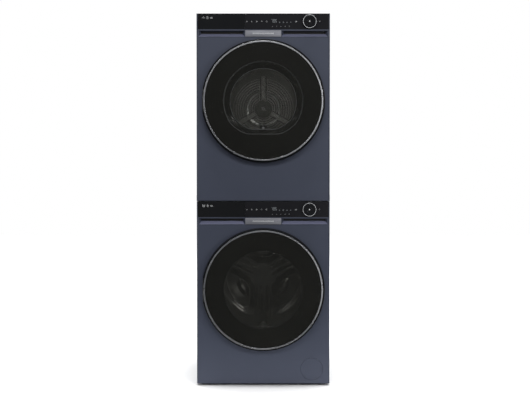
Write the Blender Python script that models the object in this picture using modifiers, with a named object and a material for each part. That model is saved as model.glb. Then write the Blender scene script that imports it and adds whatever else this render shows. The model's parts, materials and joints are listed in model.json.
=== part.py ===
"""A front-loading washer with a heat pump dryer stacked on it, joined by a stacking frame.

Metres, +Z up, the fronts face -Y, and the origin is on the floor under the middle of the stack.
"""

import math

import bpy
import bmesh

# Driving dimensions
WIDTH = 0.600
DEPTH = 0.600
HEIGHT = 1.680
SHEET = 0.0012
GAP = 0.0004

# Depths that both machines share (-Y is the front)
DOOR_FRONT = -DEPTH / 2
FRONT = -0.255
FASCIA_FRONT = FRONT - 0.003
BACK = 0.284
REAR_COVER_BACK = DEPTH / 2

# Stacking frame
FRAME_SHEET = 0.002
FRAME_RISE = 0.027
WASHER_TOP = 0.836
DRYER_BOTTOM = WASHER_TOP + FRAME_SHEET + 2 * GAP

# Panels across the top of each machine, measured down from its top
FASCIA_HEIGHT = 0.071
LIP_BOTTOM = 0.0775
CARRIER_HEIGHT = 0.106
WORKTOP_THICK = 0.020
CARRIER_DEPTH = 0.0168
SCOOP_DEPTH = 0.020
DRAWER_LEFT = -0.2936
DRAWER_RIGHT = -0.0822
PANEL_HALF = 0.2946
POST_WIDTH = WIDTH / 2 - PANEL_HALF - GAP
BASE_HALF = WIDTH / 2 - 0.0040

# Program dial and its start button
DIAL_X = 0.2083
DIAL_DOWN = 0.0367
DIAL_RADIUS = 0.0324
DIAL_BORE = 0.0118
DIAL_HUB = 0.0150
BUTTON_RADIUS = 0.0113

# Door
OPENING_RADIUS = 0.205
DOOR_RADIUS = 0.278
DOOR_BACK = FRONT - 0.001
GLASS_RADIUS = 0.2606
RING_RADIUS = 0.2670
WINDOW_RADIUS = 0.182
HINGE_X = -0.268
HINGE_Y = -0.2745
KNUCKLE_RADIUS = 0.0055
PIN_RADIUS = 0.0028
HOOK_X = 0.236

# Drums
WASHER_DRUM_RADIUS = 0.262
TUB_RADIUS = 0.283
DRYER_DRUM_RADIUS = 0.2695
BELT_THICK = 0.002
PULLEY_RADIUS = 0.010
MOTOR_X, MOTOR_Z = 0.200, 0.903
BELT_Y = 0.050

# Drain filter, at the washer's lower right corner
FILTER_X, FILTER_Z = 0.2196, 0.076
HATCH_RADIUS = 0.050

FOOT_X = 0.250
FOOT_YS = (-0.205, 0.235)
FOOT_HEIGHT = 0.010

LARGE_STEPS = 36
MEDIUM_STEPS = 24
SMALL_STEPS = 12


class Machine:
    """One cabinet of the stack: its name, the heights of its ends and of its door's centre."""

    def __init__(self, name, bottom, top, door_z):
        self.name = name
        self.bottom = bottom
        self.top = top
        self.door_z = door_z

    def down(self, distance):
        """The height that is this far below the machine's top."""
        return self.top - distance


WASHER = Machine("washer", FOOT_HEIGHT, WASHER_TOP, 0.440)
DRYER = Machine("dryer", DRYER_BOTTOM, HEIGHT, 1.286)


# ---------------------------------------------------------------- scene and materials

for old in list(bpy.data.objects):
    bpy.data.objects.remove(old)

PARTS = bpy.data.collections.new("washer_dryer_stack")
HELPERS = bpy.data.collections.new("cutters")
bpy.context.scene.collection.children.link(PARTS)
bpy.context.scene.collection.children.link(HELPERS)


def material(name, colour, roughness, metallic=0.0, transmission=0.0):
    made = bpy.data.materials.new(name)
    made.use_nodes = True
    shader = made.node_tree.nodes["Principled BSDF"]
    shader.inputs["Base Color"].default_value = (*colour, 1.0)
    shader.inputs["Roughness"].default_value = roughness
    shader.inputs["Metallic"].default_value = metallic
    shader.inputs["Transmission Weight"].default_value = transmission
    return made


BLUE_STEEL = material("blue_painted_steel", (0.055, 0.066, 0.095), 0.35, 0.2)
BLUE_PLASTIC = material("blue_painted_plastic", (0.055, 0.066, 0.095), 0.38)
BLUE_BOARD = material("blue_laminate_board", (0.055, 0.066, 0.095), 0.40)
BLACK_GLASS = material("black_gloss", (0.010, 0.011, 0.013), 0.10)
BLACK_PLASTIC = material("black_plastic", (0.015, 0.015, 0.017), 0.45)
SILVER = material("satin_silver", (0.62, 0.62, 0.62), 0.25, 1.0)
GREY_METAL = material("grey_metal", (0.16, 0.16, 0.17), 0.35, 0.9)
TINTED_GLASS = material("tinted_glass", (0.04, 0.04, 0.04), 0.03, 0.0, 0.8)
CLEAR_GLASS = material("clear_glass", (0.80, 0.82, 0.82), 0.03, 0.0, 0.9)
STAINLESS = material("stainless_steel", (0.55, 0.55, 0.54), 0.28, 1.0)
RUBBER = material("grey_rubber", (0.12, 0.12, 0.12), 0.70)
GREY_PLASTIC = material("grey_plastic", (0.30, 0.30, 0.31), 0.50)
WHITE_PLASTIC = material("white_plastic", (0.70, 0.70, 0.69), 0.45)
ZINC = material("zinc_plated_steel", (0.42, 0.43, 0.44), 0.40, 1.0)
CAST_METAL = material("cast_metal", (0.30, 0.30, 0.31), 0.55, 0.8)
ALUMINIUM = material("aluminium", (0.60, 0.61, 0.62), 0.35, 1.0)


# ---------------------------------------------------------------- modelling tools


def place(name, mesh, finish):
    """Puts a mesh in the scene as a part, or as a hidden cutter where finish is None."""
    obj = bpy.data.objects.new(name, mesh)
    if finish is None:
        HELPERS.objects.link(obj)
        obj.hide_render = True
        obj.display_type = "WIRE"
    else:
        PARTS.objects.link(obj)
        mesh.materials.append(finish)
    return obj


def mesh_from(name, bm):
    mesh = bpy.data.meshes.new(name)
    bmesh.ops.recalc_face_normals(bm, faces=bm.faces)
    bm.to_mesh(mesh)
    bm.free()
    return mesh


def block(name, x, y, z, finish=None, bevel=0.0):
    """A box between two x, two y and two z values."""
    bm = bmesh.new()
    bmesh.ops.create_cube(bm, size=1.0)
    for vertex in bm.verts:
        for axis, (low, high) in enumerate((x, y, z)):
            vertex.co[axis] = low + (vertex.co[axis] + 0.5) * (high - low)
    obj = place(name, mesh_from(name, bm), finish)
    if bevel:
        rounding = obj.modifiers.new("rounded_edges", "BEVEL")
        rounding.width = bevel
        rounding.segments = 2
    return obj


def hull(name, points, finish=None):
    """The convex solid around these points."""
    bm = bmesh.new()
    vertices = [bm.verts.new(point) for point in points]
    bmesh.ops.convex_hull(bm, input=vertices)
    bmesh.ops.dissolve_limit(
        bm, angle_limit=math.radians(0.5), verts=bm.verts, edges=bm.edges
    )
    return place(name, mesh_from(name, bm), finish)


def turned(name, outline, x, z, finish=None, steps=LARGE_STEPS, touches_axis=False):
    """A solid turned about an axis along Y through (x, z). The outline is of (radius, y) points:
    a closed loop, or an open line whose two ends are on the axis."""
    local = [(radius, -y) for radius, y in outline]
    area = sum(
        a[0] * b[1] - b[0] * a[1] for a, b in zip(local, local[1:] + local[:1])
    )
    if area > 0:
        local.reverse()
    bm = bmesh.new()
    vertices = [bm.verts.new((radius, 0.0, height)) for radius, height in local]
    for first, second in zip(vertices, vertices[1:]):
        bm.edges.new((first, second))
    if not touches_axis:
        bm.edges.new((vertices[-1], vertices[0]))
    mesh = bpy.data.meshes.new(name)
    bm.to_mesh(mesh)
    bm.free()
    obj = place(name, mesh, finish)
    obj.rotation_euler = (math.pi / 2, 0.0, 0.0)
    obj.location = (x, 0.0, z)
    screw = obj.modifiers.new("turned", "SCREW")
    screw.axis = "Z"
    screw.steps = screw.render_steps = steps
    screw.use_merge_vertices = True
    screw.merge_threshold = 1e-5
    screw.use_smooth_shade = True
    return obj


def rod(name, radius, y, x, z, finish=None, steps=SMALL_STEPS):
    """A plain cylinder along Y."""
    outline = [(0, y[0]), (radius, y[0]), (radius, y[1]), (0, y[1])]
    return turned(name, outline, x, z, finish, steps, touches_axis=True)


def post(name, outline, x, y, finish=None, steps=SMALL_STEPS):
    """A solid turned about a vertical axis. The outline is of (radius, z) points from the axis
    at the top, down the outer side, to the axis at the bottom."""
    obj = turned(name, [(radius, -z) for radius, z in outline], 0, 0, finish, steps, True)
    obj.rotation_euler = (0.0, 0.0, 0.0)
    obj.location = (x, y, 0.0)
    return obj


def combine(obj, other, operation):
    boolean = obj.modifiers.new(other.name, "BOOLEAN")
    boolean.operation = operation
    boolean.object = other
    return obj


def cut(obj, *cutters):
    for cutter in cutters:
        combine(obj, cutter, "DIFFERENCE")
    return obj


def join(obj, *others):
    for other in others:
        combine(obj, other, "UNION")
    return obj


def arc(centre, radius, start, end, count):
    """Points along a circle's arc, with the angles in degrees."""
    return [
        (
            centre[0] + radius * math.cos(math.radians(start + (end - start) * i / count)),
            centre[1] + radius * math.sin(math.radians(start + (end - start) * i / count)),
        )
        for i in range(count + 1)
    ]


def sheet_wall(name, path, z, finish, thickness=SHEET):
    """Sheet metal bent along a path of (x, y) points, standing between two z values."""
    bm = bmesh.new()
    vertices = [bm.verts.new((x, y, z[0])) for x, y in path]
    edges = [bm.edges.new(pair) for pair in zip(vertices, vertices[1:])]
    raised = bmesh.ops.extrude_edge_only(bm, edges=edges)["geom"]
    for item in raised:
        if isinstance(item, bmesh.types.BMVert):
            item.co.z = z[1]
    obj = place(name, mesh_from(name, bm), finish)
    skin = obj.modifiers.new("sheet", "SOLIDIFY")
    skin.thickness = thickness
    skin.offset = -1.0
    skin.use_even_offset = True
    return obj


def pan(name, x, y, z, open_side, wall, finish):
    """A box of sheet with one open side, which is 'back' (+Y) or 'top'."""
    obj = block(name, x, y, z, finish)
    bm = bmesh.new()
    bm.from_mesh(obj.data)
    direction = {"back": (0, 1, 0), "top": (0, 0, 1)}[open_side]
    lids = [f for f in bm.faces if sum(n * d for n, d in zip(f.normal, direction)) > 0.9]
    bmesh.ops.delete(bm, geom=lids, context="FACES")
    bm.to_mesh(obj.data)
    bm.free()
    skin = obj.modifiers.new("wall", "SOLIDIFY")
    skin.thickness = wall
    skin.offset = -1.0
    skin.use_even_offset = True
    return obj


# ---------------------------------------------------------------- cabinet and panels


def cabinet(machine):
    """Side and back walls in one wrap, whose front posts fold back beside the front panel."""
    half = WIDTH / 2
    inner = half - POST_WIDTH
    bend, crease = 0.0035, 0.0060
    right = [(inner, FRONT + 0.014), (inner, FRONT + 0.0008), (inner + 0.0008, FRONT)]
    right += arc((half - bend, FRONT + bend), bend, -90, 0, 4)
    right += arc((half - crease, BACK - crease), crease, 0, 90, 4)
    left = [(-x, y) for x, y in reversed(right)]
    obj = sheet_wall(
        f"{machine.name}_cabinet", right + left, (machine.bottom, machine.top), BLUE_STEEL
    )
    worktop_room = block(
        f"{machine.name}_worktop_room",
        (-0.4, 0.4),
        (FRONT + CARRIER_DEPTH + GAP, 0.4),
        (machine.down(WORKTOP_THICK + GAP), machine.top + 0.1),
    )
    return cut(obj, worktop_room)


def worktop(machine):
    return block(
        f"{machine.name}_worktop",
        (-WIDTH / 2, WIDTH / 2),
        (FRONT + CARRIER_DEPTH + 2 * GAP, BACK),
        (machine.down(WORKTOP_THICK), machine.top),
        BLUE_BOARD,
        bevel=0.003,
    )


def base(machine):
    return pan(
        f"{machine.name}_base",
        (-BASE_HALF, BASE_HALF),
        (FRONT + 0.015, BACK - 0.0035),
        (machine.bottom, machine.bottom + 0.045),
        "top",
        0.0025,
        BLACK_PLASTIC,
    )


def front_panel(machine):
    """The painted front with its folded rim, the door opening, and slots for hinge and hook."""
    obj = pan(
        f"{machine.name}_front_panel",
        (-PANEL_HALF, PANEL_HALF),
        (FRONT, FRONT + 0.012),
        (machine.bottom, machine.down(CARRIER_HEIGHT + GAP)),
        "back",
        SHEET,
        BLUE_STEEL,
    )
    through = (FRONT - 0.02, FRONT + 0.008)
    opening = rod(
        f"{machine.name}_door_opening", OPENING_RADIUS, through, 0, machine.door_z, None, LARGE_STEPS
    )
    hinge_slot = block(
        f"{machine.name}_hinge_slot",
        (HINGE_X - 0.006, HINGE_X + 0.006),
        through,
        (machine.door_z - 0.044, machine.door_z + 0.044),
    )
    hook_slot = block(
        f"{machine.name}_hook_slot",
        (HOOK_X - 0.008, HOOK_X + 0.008),
        through,
        (machine.door_z - 0.014, machine.door_z + 0.014),
    )
    return cut(obj, opening, hinge_slot, hook_slot)


def scoop_cutter(machine, side, x_low, x_high):
    """The finger recess: a pocket whose floor and ends slope inwards."""
    inset = 0.010
    front, deep = FRONT - 0.002, FRONT + SCOOP_DEPTH
    low, high = machine.down(CARRIER_HEIGHT - 0.0015), machine.down(LIP_BOTTOM)
    risen = machine.down(0.0885)
    points = [(x, front, z) for x in (x_low, x_high) for z in (low, high)]
    points += [
        (x, deep, z) for x in (x_low + inset, x_high - inset) for z in (risen, high)
    ]
    return hull(f"{machine.name}_{side}_scoop", points)


def panel_carrier(machine):
    """The painted moulding behind the fascia, with a lip and a finger recess on each side."""
    name = machine.name
    obj = block(
        f"{name}_panel_carrier",
        (-PANEL_HALF, PANEL_HALF),
        (FRONT, FRONT + SCOOP_DEPTH + 0.003),
        (machine.down(CARRIER_HEIGHT), machine.down(LIP_BOTTOM)),
        BLUE_PLASTIC,
    )
    upright = block(
        f"{name}_carrier_upright",
        (DRAWER_RIGHT + GAP, PANEL_HALF),
        (FRONT + 0.0035, FRONT + CARRIER_DEPTH),
        (machine.down(LIP_BOTTOM + 0.004), machine.down(0.0006)),
    )
    lip = block(
        f"{name}_carrier_lip",
        (DRAWER_RIGHT + GAP, PANEL_HALF),
        (FRONT - 0.0015, FRONT + 0.006),
        (machine.down(LIP_BOTTOM), machine.down(FASCIA_HEIGHT + GAP)),
    )
    plate_seat = block(
        f"{name}_plate_seat",
        (-0.0812, 0.0812),
        (FRONT - 0.02, FRONT + 0.0008),
        (machine.down(0.1045), machine.down(0.0745)),
    )
    dial_hole = rod(
        f"{name}_carrier_dial_hole",
        DIAL_HUB + 0.0006,
        (FRONT - 0.02, FRONT + 0.04),
        DIAL_X,
        machine.down(DIAL_DOWN),
        None,
        MEDIUM_STEPS,
    )
    left = scoop_cutter(machine, "left", -0.2905, -0.0825)
    right = scoop_cutter(machine, "right", 0.0825, 0.2905)
    return cut(join(obj, upright, lip), left, right, plate_seat, dial_hole)


def control_panel(machine):
    """The black fascia, with the hole that the dial's hub passes through."""
    obj = block(
        f"{machine.name}_control_panel",
        (DRAWER_RIGHT + GAP, PANEL_HALF),
        (FASCIA_FRONT, FRONT + 0.0031),
        (machine.down(FASCIA_HEIGHT), machine.down(0.0006)),
        BLACK_GLASS,
        bevel=0.0008,
    )
    hole = rod(
        f"{machine.name}_fascia_dial_hole",
        DIAL_HUB + 0.0006,
        (FRONT - 0.02, FRONT + 0.02),
        DIAL_X,
        machine.down(DIAL_DOWN),
        None,
        MEDIUM_STEPS,
    )
    return cut(obj, hole)


def trim_plate(machine):
    return block(
        f"{machine.name}_trim_plate",
        (-0.0808, 0.0808),
        (FRONT - 0.0012, FRONT + GAP),
        (machine.down(0.1040), machine.down(0.0750)),
        GREY_METAL,
        bevel=0.0004,
    )


def dial(machine):
    face = FASCIA_FRONT - 0.009
    back = FASCIA_FRONT - 0.0005
    outline = [
        (DIAL_BORE, face + 0.0012),
        (DIAL_BORE + 0.0012, face),
        (DIAL_RADIUS - 0.0030, face),
        (DIAL_RADIUS - 0.0006, face + 0.0012),
        (DIAL_RADIUS, face + 0.0035),
        (DIAL_RADIUS, back),
        (DIAL_HUB, back),
        (DIAL_HUB, FRONT + 0.009),
        (DIAL_BORE, FRONT + 0.009),
    ]
    return turned(
        f"{machine.name}_dial", outline, DIAL_X, machine.down(DIAL_DOWN), BLACK_GLASS, MEDIUM_STEPS
    )


def start_button(machine):
    face = FASCIA_FRONT - 0.0085
    outline = [
        (0, face),
        (BUTTON_RADIUS - 0.001, face),
        (BUTTON_RADIUS, face + 0.001),
        (BUTTON_RADIUS, FRONT + 0.006),
        (0, FRONT + 0.006),
    ]
    return turned(
        f"{machine.name}_start_button",
        outline,
        DIAL_X,
        machine.down(DIAL_DOWN),
        BLACK_GLASS,
        SMALL_STEPS,
        touches_axis=True,
    )


def pull_front(machine, name):
    """The front of a drawer: a black face over a painted lip, with a finger space behind the lip."""
    face = block(
        name,
        (DRAWER_LEFT, DRAWER_RIGHT),
        (FASCIA_FRONT, FRONT + 0.005),
        (machine.down(FASCIA_HEIGHT), machine.down(0.0006)),
        BLACK_GLASS,
        bevel=0.0008,
    )
    lip = block(
        f"{name}_lip",
        (DRAWER_LEFT, DRAWER_RIGHT),
        (FRONT - 0.0015, FRONT + 0.003),
        (machine.down(LIP_BOTTOM - GAP), machine.down(FASCIA_HEIGHT - 0.005)),
    )
    bridge = block(
        f"{name}_bridge",
        (DRAWER_LEFT + 0.012, DRAWER_RIGHT - 0.012),
        (FRONT + 0.002, FRONT + 0.0246),
        (machine.down(0.056), machine.down(0.026)),
    )
    top_rail = block(
        f"{name}_top_rail",
        (DRAWER_LEFT, DRAWER_RIGHT),
        (FRONT + 0.003, FRONT + CARRIER_DEPTH),
        (machine.down(0.010), machine.down(0.0006)),
    )
    return join(face, lip, bridge, top_rail)


# ---------------------------------------------------------------- doors


def door_frame(machine):
    """The hollow black ring of the door, open at the front where the glass covers it."""
    outline = [
        (GLASS_RADIUS + 0.0004, -0.2865),
        (0.2690, -0.2865),
        (DOOR_RADIUS, -0.2715),
        (DOOR_RADIUS, -0.2665),
        (0.2700, DOOR_BACK),
        (0.1790, DOOR_BACK),
        (0.1790, -0.2700),
        (WINDOW_RADIUS, -0.2700),
        (WINDOW_RADIUS, -0.2590),
        (0.2680, -0.2590),
        (0.2745, -0.2690),
        (0.2665, -0.2835),
        (GLASS_RADIUS + 0.0004, -0.2835),
    ]
    name = machine.name
    z = machine.door_z
    obj = turned(f"{name}_door_frame", outline, 0, z, BLACK_PLASTIC)
    hinge_notch = block(
        f"{name}_hinge_notch", (-0.290, -0.2515), (-0.2850, -0.2540), (z - 0.046, z + 0.046)
    )
    grip_notch = block(
        f"{name}_grip_notch", (0.2575, 0.290), (-0.2735, -0.2540), (z - 0.055, z + 0.055)
    )
    hook_hole = block(
        f"{name}_hook_hole",
        (HOOK_X - 0.0035, HOOK_X + 0.0035),
        (-0.262, -0.250),
        (z - 0.0095, z + 0.0095),
    )
    return cut(obj, hinge_notch, grip_notch, hook_hole)


def door_ring(machine):
    """The bright ring between the glass and the black frame."""
    outline = [
        (GLASS_RADIUS + 0.0004, -0.2870),
        (GLASS_RADIUS + 0.0004, -0.2945),
        (0.2644, -0.2950),
        (RING_RADIUS, -0.2920),
        (RING_RADIUS, -0.2870),
    ]
    return turned(f"{machine.name}_door_ring", outline, 0, machine.door_z, SILVER)


def door_glass(machine):
    """The tinted outer cover, slightly domed."""
    crown, edge, thick = DOOR_FRONT, -0.2935, 0.004
    rings = 4
    outer = [
        (GLASS_RADIUS * i / rings, crown + (edge - crown) * (i / rings) ** 2)
        for i in range(rings + 1)
    ]
    inner = [(radius, y + thick) for radius, y in reversed(outer)]
    return turned(
        f"{machine.name}_door_glass",
        outer + inner,
        0,
        machine.door_z,
        TINTED_GLASS,
        touches_axis=True,
    )


def washer_door_bowl(machine):
    """The deep glass bowl that reaches into the washer's drum."""
    rim_front, rim_back = -0.2745, -0.2705
    outline = [
        (0, -0.1325),
        (0.125, -0.1360),
        (0.148, -0.1560),
        (0.172, rim_front),
        (0.187, rim_front),
        (0.187, rim_back),
        (0.1775, rim_back),
        (0.153, -0.1540),
        (0.127, -0.1310),
        (0, -0.1275),
    ]
    return turned(
        f"{machine.name}_door_bowl",
        outline,
        0,
        machine.door_z,
        CLEAR_GLASS,
        touches_axis=True,
    )


def d_outline(radius, flat, count):
    """Points round a circle of this radius whose lower part is cut off flat."""
    start = -math.degrees(math.asin(flat / radius))
    return arc((0, 0), radius, start, 180 - start, count)


def dryer_door_window(machine):
    """The shallow D-shaped glass pan behind the dryer's door, narrower at its back."""
    z = machine.door_z
    rim, back, wall = -0.2725, -0.2370, 0.005
    corners = 30

    def tapered(name, inset, front_y, back_y, finish=None):
        front = d_outline(0.180 - inset, 0.150 - inset, corners)
        rear = d_outline(0.152 - inset, 0.128 - inset, corners)
        points = [(px, front_y, z + pz) for px, pz in front]
        points += [(px, back_y, z + pz) for px, pz in rear]
        return hull(name, points, finish)

    obj = tapered("dryer_door_window", 0.0, rim, back, CLEAR_GLASS)
    hollow = tapered("dryer_window_hollow", wall, rim - 0.0035, back - wall)
    flange = rod("dryer_window_flange", 0.187, (-0.2745, -0.2705), 0, z, None, LARGE_STEPS)
    return cut(join(obj, flange), hollow)


def hinge_leaf(machine):
    """The door's half of the hinge: a plate inside the frame, an arm, and the pin."""
    name, z = machine.name, machine.door_z
    obj = block(
        f"{name}_hinge_leaf",
        (-0.2495, -0.2150),
        (-0.2625, -0.2594),
        (z - 0.038, z + 0.038),
        ZINC,
    )
    arm = block(
        f"{name}_leaf_arm", (HINGE_X, -0.2400), (-0.2770, -0.2600), (z - 0.017, z + 0.017)
    )
    pin = post(
        f"{name}_hinge_pin",
        [(0, z + 0.040), (PIN_RADIUS, z + 0.040), (PIN_RADIUS, z - 0.040), (0, z - 0.040)],
        HINGE_X,
        HINGE_Y,
    )
    barrel = post(
        f"{name}_hinge_barrel",
        [
            (0, z + 0.0175),
            (KNUCKLE_RADIUS, z + 0.0175),
            (KNUCKLE_RADIUS, z - 0.0175),
            (0, z - 0.0175),
        ],
        HINGE_X,
        HINGE_Y,
    )
    return join(obj, arm, barrel, pin)


def hinge_bracket(machine):
    """The cabinet's half of the hinge: a plate behind the front panel and two knuckles."""
    name, z = machine.name, machine.door_z
    obj = block(
        f"{name}_hinge_bracket",
        (-0.2860, -0.2420),
        (FRONT + SHEET + GAP, FRONT + SHEET + GAP + 0.003),
        (z - 0.060, z + 0.060),
        ZINC,
    )
    for side in (-1, 1):
        low, high = sorted((z + side * 0.0205, z + side * 0.0385))
        arm = block(
            f"{name}_knuckle_arm_{side + 1}",
            (HINGE_X - 0.0025, HINGE_X + 0.0025),
            (HINGE_Y, FRONT + SHEET + 0.002),
            (low, high),
        )
        knuckle = post(
            f"{name}_knuckle_{side + 1}",
            [(0, high), (KNUCKLE_RADIUS, high), (KNUCKLE_RADIUS, low), (0, low)],
            HINGE_X,
            HINGE_Y,
        )
        join(obj, arm, knuckle)
    bore = PIN_RADIUS + 0.0004
    pin_bore = post(
        f"{name}_pin_bore",
        [(0, z + 0.08), (bore, z + 0.08), (bore, z - 0.08), (0, z - 0.08)],
        HINGE_X,
        HINGE_Y,
    )
    return cut(obj, pin_bore)


def door_hook(machine):
    """The catch that the lock holds: a plate inside the frame and a hook through the panel."""
    name, z = machine.name, machine.door_z
    obj = block(
        f"{name}_door_hook",
        (HOOK_X - 0.011, HOOK_X + 0.011),
        (-0.2620, -0.2594),
        (z - 0.016, z + 0.016),
        ZINC,
    )
    shank = block(
        f"{name}_hook_shank", (HOOK_X - 0.002, HOOK_X + 0.002), (-0.2610, -0.2340), (z - 0.008, z + 0.008)
    )
    eye = block(
        f"{name}_hook_eye", (HOOK_X - 0.010, HOOK_X + 0.010), (-0.2460, -0.2400), (z - 0.004, z + 0.004)
    )
    return cut(join(obj, shank), eye)


# ---------------------------------------------------------------- washer only


def washer_drawer_tray(machine):
    """The detergent drawer behind its front: a block with three open compartments."""
    top, bottom = machine.down(0.026), machine.down(0.073)
    y = (FRONT + 0.025, 0.035)
    obj = block("washer_drawer_tray", (-0.2830, -0.0920), y, (bottom, top), GREY_PLASTIC)
    wall, floor = 0.002, bottom + 0.002
    edges = (-0.2830, -0.2280, -0.1550, -0.0920)
    for index, (low, high) in enumerate(zip(edges, edges[1:])):
        pocket = block(
            f"washer_drawer_pocket_{index}",
            (low + wall, high - wall),
            (y[0] + wall, y[1] - wall),
            (floor, top + 0.01),
        )
        cut(obj, pocket)
    return obj


def washer_dispenser_box(machine):
    """The housing that the detergent drawer slides in, open at the front."""
    obj = block(
        "washer_dispenser_box",
        (-0.2870, -0.0880),
        (FRONT + 0.0240, 0.060),
        (machine.down(0.0775), machine.down(0.0210)),
        WHITE_PLASTIC,
    )
    inside = block(
        "washer_dispenser_inside",
        (-0.2845, -0.0905),
        (-0.4, 0.057),
        (machine.down(0.0745), machine.down(0.0230)),
    )
    outlet = rod(
        "washer_dispenser_outlet", 0.012, (0.04, 0.09), -0.130, machine.down(0.055), None
    )
    return cut(obj, inside, outlet)


def washer_gasket(machine):
    """The folded rubber seal between the front panel and the tub."""
    fold = [
        (0.2030, -0.2528),
        (0.1890, -0.2490),
        (0.1860, -0.2410),
        (0.1975, -0.2300),
        (0.1900, -0.2190),
        (0.1960, -0.2100),
    ]
    thick = 0.003
    behind = [(radius + thick, y + 0.0006) for radius, y in reversed(fold)]
    return turned("washer_gasket", fold + behind, 0, machine.door_z, RUBBER, MEDIUM_STEPS)


def washer_tub(machine):
    """The outer tub, open at the front and bored for the drum's shaft."""
    wall = 0.004
    front, back, opening, bore = -0.2085, 0.216, 0.2000, 0.020
    outline = [
        (opening, front),
        (TUB_RADIUS, front),
        (TUB_RADIUS, back),
        (bore, back),
        (bore, back - 3 * wall),
        (bore + 0.03, back - wall),
        (TUB_RADIUS - wall, back - wall),
        (TUB_RADIUS - wall, front + wall),
        (opening, front + wall),
    ]
    return turned("washer_tub", outline, 0, machine.door_z, WHITE_PLASTIC, MEDIUM_STEPS)


def paddle(name, radius, foot, angle, y, half_widths, z):
    """A lifter on the inside of a drum, between two radii, at this angle in degrees in the XZ
    plane. Its ends slope, and it narrows from the foot at the drum's wall to the tip."""
    a = math.radians(angle)
    out, side = (math.cos(a), math.sin(a)), (-math.sin(a), math.cos(a))
    slope = 0.030
    rings = [
        (foot, half_widths[0], y),
        (radius, half_widths[1], (y[0] + slope, y[1] - slope)),
    ]
    points = [
        (r * out[0] + w * side[0], py, z + r * out[1] + w * side[1])
        for r, half, ends in rings
        for w in (-half, half)
        for py in ends
    ]
    return hull(name, points)


def drum_with_paddles(obj, name, wall_radius, angles, y, height, half_width, z):
    """Joins three lifters to a drum. They are hollow, and open through the drum's wall."""
    skin, tip = 0.003, 0.35 * half_width
    foot = math.sqrt((wall_radius + 0.0004) ** 2 - half_width**2)
    for index, angle in enumerate(angles):
        outer = paddle(
            f"{name}_paddle_{index}",
            wall_radius - height,
            foot,
            angle,
            y,
            (half_width, tip),
            z,
        )
        inner = paddle(
            f"{name}_paddle_hollow_{index}",
            wall_radius - height + skin,
            wall_radius + 0.010,
            angle,
            (y[0] + 2 * skin, y[1] - 2 * skin),
            (half_width - skin, tip - skin / 2),
            z,
        )
        cut(join(obj, outer), inner)
    return obj


def washer_drum(machine):
    """The stainless drum: a front lip, the shell, the back wall and three lifters."""
    wall, front, back, mouth = 0.0015, -0.1990, 0.1900, 0.1900
    radius = WASHER_DRUM_RADIUS
    shoulder = front + 0.020
    outline = [
        (0, back - wall),
        (radius - wall, back - wall),
        (radius - wall, shoulder),
        (mouth + 0.012, front + wall),
        (mouth, front + wall),
        (mouth, front),
        (mouth + 0.012, front),
        (radius, shoulder),
        (radius, back),
        (0, back),
    ]
    obj = turned(
        "washer_drum",
        outline,
        0,
        machine.door_z,
        STAINLESS,
        touches_axis=True,
    )
    return drum_with_paddles(
        obj, "washer", radius - wall, (30, 150, 270), (-0.165, 0.165), 0.045, 0.034, machine.door_z
    )


def washer_rotor(machine):
    """The direct drive motor's rotor cup and the shaft that carries the drum."""
    outline = [
        (0, 0.1904),
        (0.060, 0.1904),
        (0.060, 0.1950),
        (0.0175, 0.1980),
        (0.0175, 0.2560),
        (0.1460, 0.2560),
        (0.1460, 0.2270),
        (0.1500, 0.2270),
        (0.1500, 0.2600),
        (0, 0.2600),
    ]
    return turned(
        "washer_rotor", outline, 0, machine.door_z, ZINC, MEDIUM_STEPS, touches_axis=True
    )


def washer_stator(machine):
    outline = [(0.060, 0.2164), (0.1430, 0.2250), (0.1430, 0.2480), (0.060, 0.2480)]
    return turned("washer_stator", outline, 0, machine.door_z, ALUMINIUM, MEDIUM_STEPS)


def washer_counterweight(machine):
    """The cast weight on the front of the tub, above its opening."""
    outline = [(0.2160, -0.2400), (0.2740, -0.2400), (0.2740, -0.2090), (0.2160, -0.2090)]
    obj = turned("washer_counterweight", outline, 0, machine.door_z, CAST_METAL, MEDIUM_STEPS)
    lower_half = block(
        "washer_weight_cutter",
        (-0.4, 0.4),
        (-0.3, 0.1),
        (machine.door_z - 0.4, machine.door_z + 0.060),
    )
    return cut(obj, lower_half)


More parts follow.
